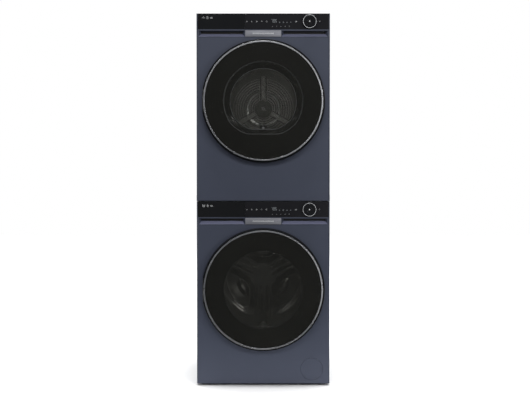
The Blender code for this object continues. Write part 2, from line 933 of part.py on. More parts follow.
def washer_filter_parts():
    """The round hatch in the front panel, the drain pump, and its screw cap with a grip bar."""
    x, z = FILTER_X, FILTER_Z
    hatch = rod(
        "washer_filter_hatch", HATCH_RADIUS, (FRONT, FRONT + 0.0025), x, z, BLUE_PLASTIC, MEDIUM_STEPS
    )
    lug = block(
        "washer_hatch_lug",
        (FILTER_X - HATCH_RADIUS + 0.0055, FILTER_X - HATCH_RADIUS + 0.0115),
        (FRONT + 0.002, FRONT + 0.0060),
        (FILTER_Z - 0.014, FILTER_Z + 0.014),
    )
    join(hatch, lug)
    hole_y = (FRONT - 0.02, FRONT + 0.008)
    hole = rod("washer_hatch_hole", HATCH_RADIUS + 0.0007, hole_y, x, z, None, MEDIUM_STEPS)
    cut(bpy.data.objects["washer_front_panel"], hole)

    cap_front, cap_back = FRONT + 0.027, FRONT + 0.042
    cap = rod("washer_filter_cap", 0.032, (cap_front, cap_back), x, z, GREY_PLASTIC, MEDIUM_STEPS)
    grip = block(
        "washer_cap_grip",
        (FILTER_X - 0.018, FILTER_X + 0.018),
        (cap_front - 0.013, cap_front + 0.002),
        (FILTER_Z - 0.005, FILTER_Z + 0.005),
    )
    plug_y = (cap_back - 0.002, cap_back + 0.020)
    plug = rod("washer_cap_plug", 0.024, plug_y, x, z, None, MEDIUM_STEPS)
    join(cap, grip, plug)

    body_front = cap_back + GAP
    outline = [
        (0.0246, body_front),
        (0.0310, body_front),
        (0.0310, -0.170),
        (0.0400, -0.165),
        (0.0400, -0.110),
        (0, -0.110),
        (0, -0.180),
        (0.0246, -0.180),
    ]
    pump = turned(
        "washer_drain_pump",
        outline[6:] + outline[:6],
        FILTER_X,
        FILTER_Z,
        WHITE_PLASTIC,
        MEDIUM_STEPS,
        touches_axis=True,
    )
    mount = block(
        "washer_pump_mount",
        (FILTER_X - 0.030, FILTER_X + 0.030),
        (-0.160, -0.115),
        (WASHER.bottom + 0.0029, FILTER_Z - 0.030),
    )
    spout = rod("washer_pump_motor", 0.026, (-0.112, -0.070), FILTER_X, FILTER_Z, None, MEDIUM_STEPS)
    join(pump, mount, spout)


def washer_rear_cover(machine):
    """The domed cover over the motor, and the round hole in the cabinet that it closes."""
    seat = BACK + GAP
    outline = [
        (0.205, seat),
        (0.205, seat + 0.0014),
        (0.192, seat + 0.0016),
        (0.178, REAR_COVER_BACK),
        (0, REAR_COVER_BACK),
        (0, REAR_COVER_BACK - SHEET),
        (0.177, REAR_COVER_BACK - SHEET),
        (0.190, seat),
    ]
    turned(
        "washer_rear_cover",
        outline[5:] + outline[:5],
        0,
        machine.door_z,
        ZINC,
        MEDIUM_STEPS,
        touches_axis=True,
    )
    hole = rod("washer_rear_hole", 0.188, (BACK - 0.02, BACK + 0.02), 0, machine.door_z, None, MEDIUM_STEPS)
    cut(bpy.data.objects["washer_cabinet"], hole)


def washer_feet():
    """Four levelling feet, whose threaded stems stand in holes in the base."""
    index = 0
    for side in (-1, 1):
        for y in FOOT_YS:
            index += 1
            post(
                f"washer_foot_{index}",
                [
                    (0, 0.046),
                    (0.005, 0.046),
                    (0.005, 0.0095),
                    (0.020, 0.0085),
                    (0.0215, 0.0020),
                    (0.0205, 0.0),
                    (0, 0.0),
                ],
                side * FOOT_X,
                y,
                RUBBER,
            )
            stem_hole = post(
                f"washer_foot_hole_{index}",
                [(0, 0.08), (0.0056, 0.08), (0.0056, -0.01), (0, -0.01)],
                side * FOOT_X,
                y,
            )
            cut(bpy.data.objects["washer_base"], stem_hole)


# ---------------------------------------------------------------- dryer only


def dryer_bulkhead(machine):
    """The plastic ring behind the front panel, with a D-shaped mouth and the lint filter's slot."""
    z = machine.door_z
    mouth, front, back = 0.190, FRONT + 0.0020, -0.1915
    outline = [
        (mouth, front),
        (0.226, front),
        (0.226, front + 0.003),
        (mouth + 0.003, front + 0.003),
        (mouth + 0.003, back - 0.003),
        (0.276, back - 0.003),
        (0.276, back),
        (mouth, back),
    ]
    obj = turned("dryer_bulkhead", outline, 0, z, BLACK_PLASTIC)
    flat, radius = 0.150, mouth + 0.0015
    edge = math.degrees(math.asin(flat / radius))
    sill_arc = arc((0, 0), radius, 180 + edge, 360 - edge, 12)
    sill = hull("dryer_sill", [(x, y, z + dz) for x, dz in sill_arc for y in (front, back)])
    pocket = block("dryer_filter_pocket", (-0.100, 0.100), (-0.2305, -0.2060), (z - 0.245, z - 0.180))
    slot = block("dryer_filter_slot", (-0.0960, 0.0960), (-0.2275, -0.2090), (z - 0.242, z - 0.100))
    return cut(join(obj, sill, pocket), slot)


def dryer_lint_filter(machine):
    """The flat filter cassette that lifts out of the sill, with two mesh windows and a lip."""
    z = machine.door_z
    y, height = (-0.2265, -0.2100), (z - 0.2405, z - 0.1496)
    obj = block("dryer_lint_filter", (-0.0950, 0.0950), y, height, GREY_PLASTIC)
    for side in (-1, 1):
        low, high = sorted((side * 0.006, side * 0.086))
        window = block(
            f"dryer_filter_window_{side + 1}", (low, high), (-0.24, -0.20), (z - 0.232, z - 0.168)
        )
        cut(obj, window)
    handle = block(
        "dryer_filter_handle", (-0.016, 0.016), (-0.2250, -0.2115), (z - 0.152, z - 0.1080)
    )
    return join(obj, handle)


def dryer_drum(machine):
    """The stainless drum with its rear stub shaft and three lifters."""
    wall, front, back = 0.0014, -0.1885, 0.2340
    radius = DRYER_DRUM_RADIUS
    outline = [
        (0, back - wall),
        (radius - wall, back - wall),
        (radius - wall, front + wall),
        (0.250, front + wall),
        (0.250, front),
        (radius, front),
        (radius, back),
        (0.014, back),
        (0.012, 0.270),
        (0, 0.270),
    ]
    obj = turned("dryer_drum", outline, 0, machine.door_z, STAINLESS, touches_axis=True)
    return drum_with_paddles(
        obj, "dryer", radius - wall, (90, 210, 330), (-0.160, 0.200), 0.050, 0.036, machine.door_z
    )


def belt_outline(extra):
    """Points on the drum's and the pulley's circles, so that their hull is the belt's run."""
    count = 40
    drum = arc((0, DRYER.door_z), DRYER_DRUM_RADIUS + extra, 0, 360, count)
    pulley = arc((MOTOR_X, MOTOR_Z), PULLEY_RADIUS + extra, 0, 360, 12)
    return drum + pulley


def dryer_belt():
    """The flat belt round the drum and the motor's pulley."""
    inner_gap = 0.0012
    outline = belt_outline(inner_gap + BELT_THICK)
    outer = [(x, y, z) for x, z in outline for y in (BELT_Y - 0.005, BELT_Y + 0.005)]
    inner = [(x, y, z) for x, z in belt_outline(inner_gap) for y in (BELT_Y - 0.02, BELT_Y + 0.02)]
    return cut(hull("dryer_belt", outer, RUBBER), hull("dryer_belt_inside", inner))


def dryer_motor():
    outline = [(0.0070, 0.078), (0.050, 0.078), (0.050, 0.180), (0.0070, 0.180)]
    obj = turned("dryer_motor", outline, MOTOR_X, MOTOR_Z, CAST_METAL, MEDIUM_STEPS)
    foot = block(
        "dryer_motor_foot",
        (MOTOR_X - 0.035, MOTOR_X + 0.035),
        (0.095, 0.165),
        (DRYER.bottom + 0.0029, MOTOR_Z - 0.040),
    )
    return join(obj, foot)


def dryer_fan_shaft():
    """The motor's shaft with the flanged belt pulley in front and the process air fan behind."""
    shaft, flange = 0.006, 0.0135
    outline = [
        (0, 0.036),
        (shaft, 0.036),
        (flange, 0.041),
        (flange, 0.043),
        (PULLEY_RADIUS, 0.0434),
        (PULLEY_RADIUS, 0.0566),
        (flange, 0.057),
        (flange, 0.059),
        (shaft, 0.061),
        (shaft, 0.190),
        (0.052, 0.194),
        (0.052, 0.230),
        (0.048, 0.230),
        (0.048, 0.198),
        (shaft, 0.198),
        (shaft, 0.238),
        (0, 0.238),
    ]
    return turned(
        "dryer_fan_shaft", outline, MOTOR_X, MOTOR_Z, ZINC, SMALL_STEPS, touches_axis=True
    )


def dryer_compressor():
    """The refrigerant compressor, a domed upright can."""
    x, y, radius = -0.190, 0.150, 0.058
    low, high = DRYER.bottom + 0.0035, DRYER.bottom + 0.150
    outline = [
        (0, high),
        (radius * 0.6, high - 0.006),
        (radius, high - 0.028),
        (radius, low + 0.014),
        (radius * 0.8, low),
        (0, low),
    ]
    return post("dryer_compressor", outline, x, y, CAST_METAL, MEDIUM_STEPS)


def dryer_heat_exchanger():
    """The evaporator and condenser block, with its fins."""
    low, high = DRYER.bottom + 0.0035, DRYER.bottom + 0.135
    obj = block("dryer_heat_exchanger", (-0.120, 0.110), (-0.200, 0.035), (low, high), ALUMINIUM)
    count, slot = 9, 0.012
    for index in range(count):
        centre = -0.120 + 0.230 * (index + 1) / (count + 1)
        cut(
            obj,
            block(
                f"dryer_fin_gap_{index}",
                (centre - slot / 2, centre + slot / 2),
                (-0.3, 0.2),
                (low + 0.020, high + 0.01),
            ),
        )
    return obj


def dryer_water_tank(machine):
    """The condensate tank behind its pull front, with a filling mouth in its top."""
    top, bottom = machine.down(0.026), machine.down(0.073)
    y = (FRONT + 0.025, 0.200)
    obj = block("dryer_water_tank", (-0.2830, -0.0920), y, (bottom, top), WHITE_PLASTIC)
    wall = 0.002
    inside = block(
        "dryer_tank_inside",
        (-0.2830 + wall, -0.0920 - wall),
        (y[0] + wall, y[1] - wall),
        (bottom + wall, top - wall),
    )
    mouth = block("dryer_tank_mouth", (-0.2500, -0.1250), (0.010, 0.180), (top - 0.02, top + 0.02))
    return cut(obj, join(inside, mouth))


def dryer_tank_shelf(machine):
    """The shelf that carries the tank, which is moulded with the panel carrier."""
    shelf = block(
        "dryer_tank_shelf",
        (-0.2870, -0.0880),
        (FRONT + SCOOP_DEPTH, 0.195),
        (machine.down(0.0795), machine.down(0.0740)),
    )
    return join(bpy.data.objects["dryer_panel_carrier"], shelf)


# ---------------------------------------------------------------- stacking frame


def stacking_frame():
    """Flat rails between the machines, with side plates that rise beside the dryer."""
    low = WASHER_TOP + GAP
    high = low + FRAME_SHEET
    y = (-0.235, 0.275)
    outer = WIDTH / 2 + 0.002
    obj = block("stacking_frame", (-outer, outer), y, (low, high), ZINC)
    middle = block(
        "stacking_window", (-0.255, 0.255), (y[0] + 0.035, y[1] - 0.035), (low - 0.01, high + 0.01)
    )
    cut(obj, middle)
    for side in (-1, 1):
        x = sorted((side * outer, side * (WIDTH / 2 + GAP)))
        join(obj, block(f"stacking_side_{side + 1}", x, y, (low, low + FRAME_RISE)))
    return obj


# ---------------------------------------------------------------- assembly


def common_parts(machine, drawer_name):
    cabinet(machine)
    worktop(machine)
    base(machine)
    front_panel(machine)
    panel_carrier(machine)
    control_panel(machine)
    trim_plate(machine)
    dial(machine)
    start_button(machine)
    pull_front(machine, drawer_name)
    door_frame(machine)
    door_ring(machine)
    door_glass(machine)
    hinge_leaf(machine)
    hinge_bracket(machine)
    door_hook(machine)


def build():
    common_parts(WASHER, "washer_drawer_front")
    washer_drawer_tray(WASHER)
    washer_dispenser_box(WASHER)
    washer_door_bowl(WASHER)
    washer_gasket(WASHER)
    washer_tub(WASHER)
    washer_drum(WASHER)
    washer_rotor(WASHER)
    washer_stator(WASHER)
    washer_counterweight(WASHER)
    washer_filter_parts()
    washer_rear_cover(WASHER)
    washer_feet()

    stacking_frame()

    common_parts(DRYER, "dryer_tank_front")
    dryer_door_window(DRYER)
    dryer_bulkhead(DRYER)
    dryer_lint_filter(DRYER)
    dryer_drum(DRYER)
    dryer_belt()
    dryer_motor()
    dryer_fan_shaft()
    dryer_compressor()
    dryer_heat_exchanger()
    dryer_water_tank(DRYER)
    dryer_tank_shelf(DRYER)


build()
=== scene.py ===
"""The looks of a washer with a dryer stacked on it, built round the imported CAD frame.

Metres, +Z up, and the fronts face -Y. Places and sizes come from the frame's boxes. Each piece
rides on the CAD body that it belongs to, and stands for the CAD node that it replaces.
"""

import json
from math import asin, cos, degrees, exp, hypot, pi, radians, sin, tan, tau

import bmesh
import bpy
from mathutils import Matrix, Vector

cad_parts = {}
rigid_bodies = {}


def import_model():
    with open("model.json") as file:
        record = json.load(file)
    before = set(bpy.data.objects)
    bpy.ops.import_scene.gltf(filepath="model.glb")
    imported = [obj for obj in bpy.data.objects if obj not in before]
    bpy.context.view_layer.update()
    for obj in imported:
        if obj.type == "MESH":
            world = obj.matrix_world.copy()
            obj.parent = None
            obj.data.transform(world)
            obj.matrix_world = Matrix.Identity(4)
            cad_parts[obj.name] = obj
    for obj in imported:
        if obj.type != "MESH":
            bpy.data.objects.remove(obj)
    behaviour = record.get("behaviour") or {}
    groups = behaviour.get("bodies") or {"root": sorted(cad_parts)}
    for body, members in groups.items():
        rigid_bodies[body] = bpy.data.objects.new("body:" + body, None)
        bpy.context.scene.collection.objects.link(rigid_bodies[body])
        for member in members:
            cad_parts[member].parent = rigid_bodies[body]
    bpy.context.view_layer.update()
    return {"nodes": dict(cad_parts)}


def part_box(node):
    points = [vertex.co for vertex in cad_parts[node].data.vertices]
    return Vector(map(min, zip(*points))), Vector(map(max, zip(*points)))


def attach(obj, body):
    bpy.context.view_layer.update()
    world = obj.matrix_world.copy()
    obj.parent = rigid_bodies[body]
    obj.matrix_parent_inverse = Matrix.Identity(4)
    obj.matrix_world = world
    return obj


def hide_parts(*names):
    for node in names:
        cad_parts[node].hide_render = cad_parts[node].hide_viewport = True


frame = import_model()
NODES = frame["nodes"]

WHEEL_STEPS = 192
ROUND_STEPS = 96
SMALL_STEPS = 32
ON_AXIS = 1e-7
HAIR = 0.0003
SHEET = 0.0012


def low(node):
    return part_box(node)[0]


def high(node):
    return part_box(node)[1]


def middle(node):
    return (low(node) + high(node)) / 2


FRONT = low("washer_front_panel").y
BACK = high("washer_cabinet").y
HALF_WIDTH = high("washer_cabinet").x
PANEL_HALF = high("washer_front_panel").x
FASCIA_FRONT = low("washer_control_panel").y
GLASS_RADIUS = high("washer_door_glass").x
GLASS_CROWN = low("washer_door_glass").y
GLASS_THICK = 0.004
GLASS_EDGE = GLASS_CROWN + 0.0065
DOOR_RADIUS = high("washer_door_frame").x
DOOR_BACK = high("washer_door_frame").y
RING_FRONT = low("washer_door_ring").y
RING_BACK = high("washer_door_ring").y
RING_RADIUS = high("washer_door_ring").x
RING_INNER = GLASS_RADIUS + 0.0004
RING_SLOPE = 0.0002
DIAL_RADIUS = (high("washer_dial").x - low("washer_dial").x) / 2
DIAL_FACE = low("washer_dial").y
BEZEL_WIDTH = 0.001


class Machine:
    """One of the two machines: its name and the heights that its pieces are placed from."""

    def __init__(self, name, pull):
        self.name = name
        self.pull = pull
        self.bottom = low(f"{name}_base").z
        self.top = high(f"{name}_worktop").z
        self.door_z = middle(f"{name}_door_ring").z
        self.dial_x = middle(f"{name}_dial").x
        self.dial_z = middle(f"{name}_dial").z

    def down(self, distance):
        """The height that is this far below the machine's top."""
        return self.top - distance


WASHER = Machine("washer", "washer_drawer")
DRYER = Machine("dryer", "dryer_tank")


# ---- outlines


def rounded(points, radius, steps=4, closed=True):
    """The outline with its corners rounded, by one radius or by a list with one for each point."""
    count = len(points)
    radii = radius if isinstance(radius, list) else [radius] * count
    made = []
    for i, point in enumerate(points):
        here = Vector(point)
        before = Vector(points[i - 1]) - here
        after = Vector(points[(i + 1) % count]) - here
        ends_here = not closed and i in (0, count - 1)
        half = 0.0 if ends_here else before.angle(after) / 2
        if ends_here or radii[i] <= 0 or half > radians(88):
            made.append(tuple(here))
            continue
        reach = min(radii[i] / tan(half), 0.49 * before.length, 0.49 * after.length)
        before.normalize()
        after.normalize()
        centre = here + (before + after).normalized() * (reach / cos(half))
        start, end = here + before * reach - centre, here + after * reach - centre
        sweep = pi - 2 * half
        for step in range(steps + 1):
            t = step / steps
            spoke = start * sin((1 - t) * sweep) + end * sin(t * sweep)
            made.append(tuple(centre + spoke / sin(sweep)))
    return made


def arc(centre, radius, start, end, steps):
    """Points along a circle's arc, with the angles in degrees."""
    angles = [radians(start + (end - start) * i / steps) for i in range(steps + 1)]
    return [(centre[0] + radius * cos(a), centre[1] + radius * sin(a)) for a in angles]


def box_outline(u, v):
    return [(u[0], v[0]), (u[1], v[0]), (u[1], v[1]), (u[0], v[1])]


def folded(path, thickness):
    """The closed outline of a sheet of this thickness bent along an open path, on its left."""
    inner = []
    for i, point in enumerate(path):
        here = Vector(point)
        sides = []
        if i > 0:
            sides.append((here - Vector(path[i - 1])).normalized())
        if i < len(path) - 1:
            sides.append((Vector(path[i + 1]) - here).normalized())
        normals = [Vector((-side.y, side.x)) for side in sides]
        mitre = sum(normals, Vector((0, 0))).normalized()
        inner.append(tuple(here + mitre * thickness / mitre.dot(normals[0])))
    return list(path) + inner[::-1]


def d_outline(radius, flat, corner, steps=96):
    """A circle about the origin, whose lower part is cut off level with rounded corners."""
    start = -degrees(asin(flat / radius))
    points = arc((0, 0), radius, start, 180 - start, steps)
    slack = max(2, round(steps * corner / (pi * radius)))
    reach = radius * cos(radians(start))
    left = curve_between(points[-1 - slack], (-reach, -flat), (corner - reach, -flat))
    right = curve_between((reach - corner, -flat), (reach, -flat), points[slack])
    flats = [(left[-1][0] + (right[0][0] - left[-1][0]) * i / 12, -flat) for i in range(1, 12)]
    return points[slack:-1 - slack] + left + flats + right[:-1]


def curve_between(start, pull, end, steps=8):
    """Points on the curve that leaves start towards pull and reaches end from it."""
    a, b, c = Vector(start), Vector(pull), Vector(end)
    ts = [i / steps for i in range(steps + 1)]
    return [tuple(a * (1 - t) ** 2 + b * 2 * t * (1 - t) + c * t * t) for t in ts]


# ---- meshes


def prism(outline, axis, start, end):
    """A flat outline pushed along one axis: 0 takes (y, z) points, 1 takes (x, z), 2 takes (x, y)."""
    bm = bmesh.new()
    rings = []
    for level in (start, end):
        ring = []
        for point in outline:
            place = list(point)
            place.insert(axis, level)
            ring.append(bm.verts.new(place))
        rings.append(ring)
    bridge(bm, rings[0], rings[1])
    for ring in rings:
        bm.faces.new(ring)
    return bm


def bridge(bm, first, second):
    """Joins two rings of points with faces. A ring of one point is a pole."""
    count = max(len(first), len(second))
    for i in range(count):
        j = (i + 1) % count
        corners = []
        for ring, index in ((first, i), (first, j), (second, j), (second, i)):
            corner = ring[index % len(ring)]
            if corner not in corners:
                corners.append(corner)
        if len(corners) > 2:
            bm.faces.new(corners)


def block(x, y, z, edge=0.0, steps=3):
    """A box whose edges are rounded."""
    bm = prism(box_outline(x, z), 1, *y)
    if edge:
        bmesh.ops.bevel(bm, geom=bm.edges[:], offset=edge, segments=steps, profile=0.5, affect="EDGES")
    return bm


def lofted(loops, around=False):
    """A solid through loops of (x, y, z) points, which ends in two faces or, if around, at its start."""
    bm = bmesh.new()
    rings = [[bm.verts.new(point) for point in loop] for loop in loops]
    for first, second in zip(rings, rings[1:]):
        bridge(bm, first, second)
    if around:
        bridge(bm, rings[-1], rings[0])
        return bm
    for ring in (rings[0], rings[-1]):
        if len(ring) > 2:
            bm.faces.new(ring)
    return bm


def turned(outline, x=0.0, z=0.0, steps=WHEEL_STEPS):
    """(radius, y) points turned about the line along Y through x and z. The outline is a closed
    loop, or starts and ends on that line."""
    loops = []
    for radius, y in outline:
        angles = [tau * i / steps for i in range(steps if radius > ON_AXIS else 1)]
        loops.append([(x + radius * cos(a), y, z + radius * sin(a)) for a in angles])
    return lofted(loops, around=len(loops[0]) > 1)


def rod(radius, y, x=0.0, z=0.0, steps=WHEEL_STEPS):
    """A plain round bar along Y, to cut with."""
    return turned([(0, y[0]), (radius, y[0]), (radius, y[1]), (0, y[1])], x, z, steps)


def upright(outline, x, y, steps=SMALL_STEPS):
    """(radius, z) points turned about a vertical line."""
    bm = turned(outline, steps=steps)
    bm.transform(Matrix.Translation((x, y, 0)) @ Matrix.Rotation(pi / 2, 4, "X"))
    return bm


def merged(*parts):
    """One mesh that holds all of these."""
    whole = bmesh.new()
    for part in parts:
        mesh = bpy.data.meshes.new("part")
        part.to_mesh(mesh)
        part.free()
        whole.from_mesh(mesh)
        bpy.data.meshes.remove(mesh)
    return whole


def plain_object(bm):
    mesh = bpy.data.meshes.new("shape")
    bmesh.ops.recalc_face_normals(bm, faces=bm.faces)
    bm.to_mesh(mesh)
    bm.free()
    obj = bpy.data.objects.new("shape", mesh)
    bpy.context.scene.collection.objects.link(obj)
    return obj


def carve(body, *cutters):
    """The body with the cutters taken away from it."""
    target = plain_object(body)
    tools = [plain_object(cutter) for cutter in cutters]
    for tool in tools:
        step = target.modifiers.new("cut", "BOOLEAN")
        step.operation = "DIFFERENCE"
        step.object = tool
    bpy.context.view_layer.update()
    evaluated = target.evaluated_get(bpy.context.evaluated_depsgraph_get())
    made = bmesh.new()
    made.from_mesh(evaluated.to_mesh())
    evaluated.to_mesh_clear()
    for obj in [target, *tools]:
        mesh = obj.data
        bpy.data.objects.remove(obj)
        bpy.data.meshes.remove(mesh)
    return made


def add(name, bm, look, body="stack", stands_for=None, sharp=32):
    """Puts a finished piece in the scene, on its body."""
    obj = plain_object(bm)
    obj.name = obj.data.name = name
    mesh = obj.data
    mesh.materials.append(look)
    mesh.polygons.foreach_set("use_smooth", [True] * len(mesh.polygons))
    mesh.set_sharp_from_angle(angle=radians(sharp))
    obj.modifiers.new("normals", "WEIGHTED_NORMAL").keep_sharp = True
    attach(obj, body)
    if stands_for:
        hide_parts(stands_for)
    return obj


def carry(node, look, edge=0.0005):
    """Keeps a CAD node's shape, with fine rounded edges and a better finish."""
    obj = NODES[node]
    mesh = obj.data
    mesh.materials.clear()
    mesh.materials.append(look)
    if "custom_normal" in mesh.attributes:
        mesh.attributes.remove(mesh.attributes["custom_normal"])
    mesh.polygons.foreach_set("use_smooth", [True] * len(mesh.polygons))
    weld = obj.modifiers.new("weld", "WELD")
    weld.merge_threshold = 1e-5
    flats = obj.modifiers.new("flats", "DECIMATE")
    flats.decimate_type = "DISSOLVE"
    flats.angle_limit = radians(1)
    rounding = obj.modifiers.new("edges", "BEVEL")
    rounding.width = edge
    rounding.segments = 2
    rounding.limit_method = "ANGLE"
    rounding.angle_limit = radians(32)
    rounding.harden_normals = True


# ---- materials


def srgb(red, green, blue):
    """Display values from 0 to 255 as a linear colour."""
    shares = [value / 255 for value in (red, green, blue)]
    return [s / 12.92 if s <= 0.04045 else ((s + 0.055) / 1.055) ** 2.4 for s in shares]


def wire(tree, node, **inputs):
    """Links or sets a node's inputs, and returns the node. An underscore in a name stands for a space."""
    for name, value in inputs.items():
        socket = node.inputs[name.replace("_", " ")]
        if isinstance(value, bpy.types.NodeSocket):
            tree.links.new(value, socket)
        else:
            socket.default_value = value
    return node


def new_node(tree, kind, **inputs):
    return wire(tree, tree.nodes.new(f"ShaderNode{kind}"), **inputs)


def noise(tree, place, scale, stretch, detail=3.0):
    """A noise texture in the object's own metres, with this many features to the metre."""
    vector = new_node(tree, "Mapping", Vector=place, Scale=stretch).outputs["Vector"]
    return new_node(tree, "TexNoise", Vector=vector, Scale=scale, Detail=detail).outputs["Fac"]


def spread(tree, value, start, end):
    """A noise value stretched from its usual range to one from start to end."""
    ends = dict(From_Min=0.3, From_Max=0.7, To_Min=start, To_Max=end)
    return new_node(tree, "MapRange", Value=value, **ends).outputs["Result"]


def finish(
    name, colour, roughness, metallic=0.0, tint=0.06, tint_scale=3.0, wear=0.05, wear_scale=12.0,
    grain_scale=700.0, grain=0.15, grain_depth=0.0001, stretch=(1, 1, 1), **sockets
):
    """A surface whose colour, roughness and fine relief all vary at the scale of the real one."""
    made = bpy.data.materials.new(name)
    made.use_nodes = True
    tree = made.node_tree
    place = new_node(tree, "TexCoord").outputs["Object"]
    dark, pale = [(*[min(1.0, c * tone) for c in srgb(*colour)], 1) for tone in (1 - tint, 1 + tint)]
    mix = new_node(tree, "Mix")
    mix.data_type = "RGBA"
    wire(tree, mix, A=dark, B=pale, Factor=spread(tree, noise(tree, place, tint_scale, stretch), 0, 1))
    rubbed = noise(tree, place, wear_scale, stretch)
    relief = noise(tree, place, grain_scale, stretch, 2.0)
    bump = new_node(tree, "Bump", Strength=grain, Distance=grain_depth, Height=relief)
    wire(
        tree, tree.nodes["Principled BSDF"], Base_Color=mix.outputs["Result"], Metallic=metallic,
        Roughness=spread(tree, rubbed, max(0.02, roughness - wear), roughness + wear),
        Normal=bump.outputs["Normal"], **sockets,
    )
    return made


BLUE = (70, 75, 90)
MOULDED = dict(tint=0.03, grain_scale=900, grain=0.2)
GLOSSY = dict(tint=0.12, wear=0.04, wear_scale=9, grain_scale=60, grain=0.02, Specular_IOR_Level=0.35)
RIMMED = dict(wear=0.03, grain_scale=60, grain=0.05)
PRESSED = dict(tint=0.06, tint_scale=20, wear=0.03, wear_scale=30, grain_scale=420, grain=0.015)

BLUE_STEEL = finish("blue_enamel", BLUE, 0.5, 0.05, tint=0.03, tint_scale=1.5, grain_scale=420, grain=0.12,
                    Specular_IOR_Level=0.28)
BLUE_PLASTIC = finish("blue_moulding", BLUE, 0.48, 0.05, **MOULDED, Specular_IOR_Level=0.35)
# Painted light: a lighter copy of the blue for the recesses' upward-facing slopes, where light falls.
BLUE_SLOPE_PAINTED_LIGHT = finish("blue_recess_moulding", (120, 123, 148), 0.48, 0.05, **MOULDED, Specular_IOR_Level=0.3)
BLUE_BOARD = finish("blue_laminate", BLUE, 0.48, tint=0.05, tint_scale=8, grain_scale=1200, grain=0.35)
BLACK_GLOSS = finish("black_gloss_panel", (24, 25, 27), 0.12, **GLOSSY)
BLACK_WINDOW = finish("black_gloss_window", (31, 31, 34), 0.12, **GLOSSY)
FRAME_BLACK = finish("black_door_moulding", (15, 17, 20), 0.36, tint=0.1, wear=0.06, grain_scale=500,
                     grain=0.06, Specular_IOR_Level=0.08)
BLACK_PLASTIC = finish("black_textured_plastic", (24, 24, 26), 0.55, tint=0.12, grain_scale=1100, grain=0.5)
PRINT_BLACK = finish("black_glass_print", (44, 44, 41), 0.35, tint=0.1, grain=0.05)
SILVER = finish("satin_silver_plating", (192, 193, 196), 0.28, 1.0, tint=0.03, wear=0.02, grain_scale=900,
                grain=0.002, grain_depth=0.000005)
BRUSHED = finish("brushed_grey_plate", (138, 139, 146), 0.5, 0.4, tint=0.12, tint_scale=120, wear=0.08,
                 wear_scale=160, grain_scale=500, grain=0.25, stretch=(0.06, 1, 1))
TINTED_GLASS = finish("tinted_door_glass", (34, 34, 31), 0.05, tint=0.1, wear=0.02, wear_scale=6,
                      grain_scale=20, grain=0.01, Alpha=0.5, Specular_IOR_Level=0.35)
BLACK_ZINC = finish("black_coated_steel", (26, 26, 28), 0.42, 0.4, tint=0.14, tint_scale=60, grain_scale=400,
                    grain=0.2)
CLEAR_GLASS = finish("clear_inner_glass", (150, 156, 156), 0.06, tint=0.08, wear=0.02, grain_scale=40,
                     grain=0.03, Alpha=0.07)
GLASS_WALL = finish("thick_glass_wall", (46, 49, 50), 0.12, tint=0.12, wear=0.03, grain_scale=40,
                    grain=0.03, Alpha=0.62)
# Painted highlights: near-white bands for the bright edges of the dryer's window pan, and a softer one round
# the washer's bowl.
GLASS_RIM_PAINTED_HIGHLIGHT = finish("glass_rim", (236, 240, 240), 0.12, tint=0.05, **RIMMED, Alpha=0.95)
SOFT_RIM_PAINTED_HIGHLIGHT = finish("soft_glass_rim", (170, 172, 170), 0.2, tint=0.08, **RIMMED, Alpha=0.4)
# Painted highlight: the bezel's glow makes the dial's thin ring evenly bright in place of light on its metal;
# the lint filter's stud wears it too.
BEZEL_PAINTED_GLOW = finish("lit_bezel", (214, 216, 218), 0.34, 0.35, tint=0.04, grain_scale=400, grain=0.04,
               Emission_Color=(0.95, 0.97, 1.0, 1.0), Emission_Strength=0.38)
STEEL = finish("brushed_drum_steel", (176, 175, 168), 0.44, 0.4, tint=0.07, tint_scale=25, wear=0.05,
               wear_scale=30, grain_scale=420, grain=0.03, stretch=(1, 0.12, 1), Coat_Weight=0.6,
               Coat_Roughness=0.12)
PRESSED_STEEL = finish("pressed_back_steel", (150, 149, 143), 0.19, 0.8, **PRESSED)
# Painted shade: a darker copy of the pressed steel for the steep faces of the washer drum's back.
FLANK_PAINTED_SHADE_STEEL = finish("pressed_flank_steel", (92, 91, 86), 0.24, 0.8, **PRESSED)
POLISHED = finish("polished_steel", (170, 171, 166), 0.26, 0.9, tint=0.05, tint_scale=30, wear=0.03,
                  grain_scale=420, grain=0.01)
DARK_STEEL = finish("dark_hub_steel", (104, 104, 97), 0.46, 0.55, tint=0.08, tint_scale=40, grain_scale=420,
                    grain=0.06)
RUBBER = finish("door_seal_rubber", (88, 88, 90), 0.66, tint=0.1, grain_scale=800, grain=0.3)
GREY_PLASTIC = finish("grey_moulding", (148, 149, 152), 0.46, tint=0.06, grain_scale=900, grain=0.3)
WHITE_PLASTIC = finish("white_moulding", (214, 214, 210), 0.42, tint=0.05, grain_scale=900, grain=0.25)
ZINC = finish("zinc_spangle", (146, 149, 152), 0.44, 0.75, tint=0.1, tint_scale=60, wear=0.08,
              wear_scale=70, grain_scale=240, grain=0.1)
CAST_METAL = finish("cast_iron", (92, 93, 95), 0.62, 0.6, tint=0.14, grain_scale=260, grain=0.7,
                    grain_depth=0.0006)
ALUMINIUM = finish("rolled_aluminium", (188, 190, 192), 0.34, 1.0, tint=0.06, grain_scale=500, grain=0.2,
                   stretch=(1, 1, 0.1))
# Painted shade: the flat black of holes, slots, vents, air gaps, grooves and the front seam, where shade
# falls.
HOLE_DARK = finish("hole_shadow", (14, 14, 14), 0.8, tint=0.2, grain=0.1)
INK = finish("white_ink", (225, 227, 228), 0.5, tint=0.04, grain=0.1)
DIM_INK = finish("grey_ink", (150, 151, 152), 0.5, tint=0.04, grain=0.1)
DISPLAY_LIGHT = finish("display_light", (140, 144, 146), 0.4, tint=0.04, grain=0.05,
                       Emission_Color=(0.8, 0.9, 1.0, 1.0), Emission_Strength=0.05)
PALE_FLOOR = finish("pale_floor", (248.15, 248.15, 248.15), 0.85, tint=0.01, grain_scale=80, grain=0.02,
                    Specular_IOR_Level=0.0)


# ---- symbols


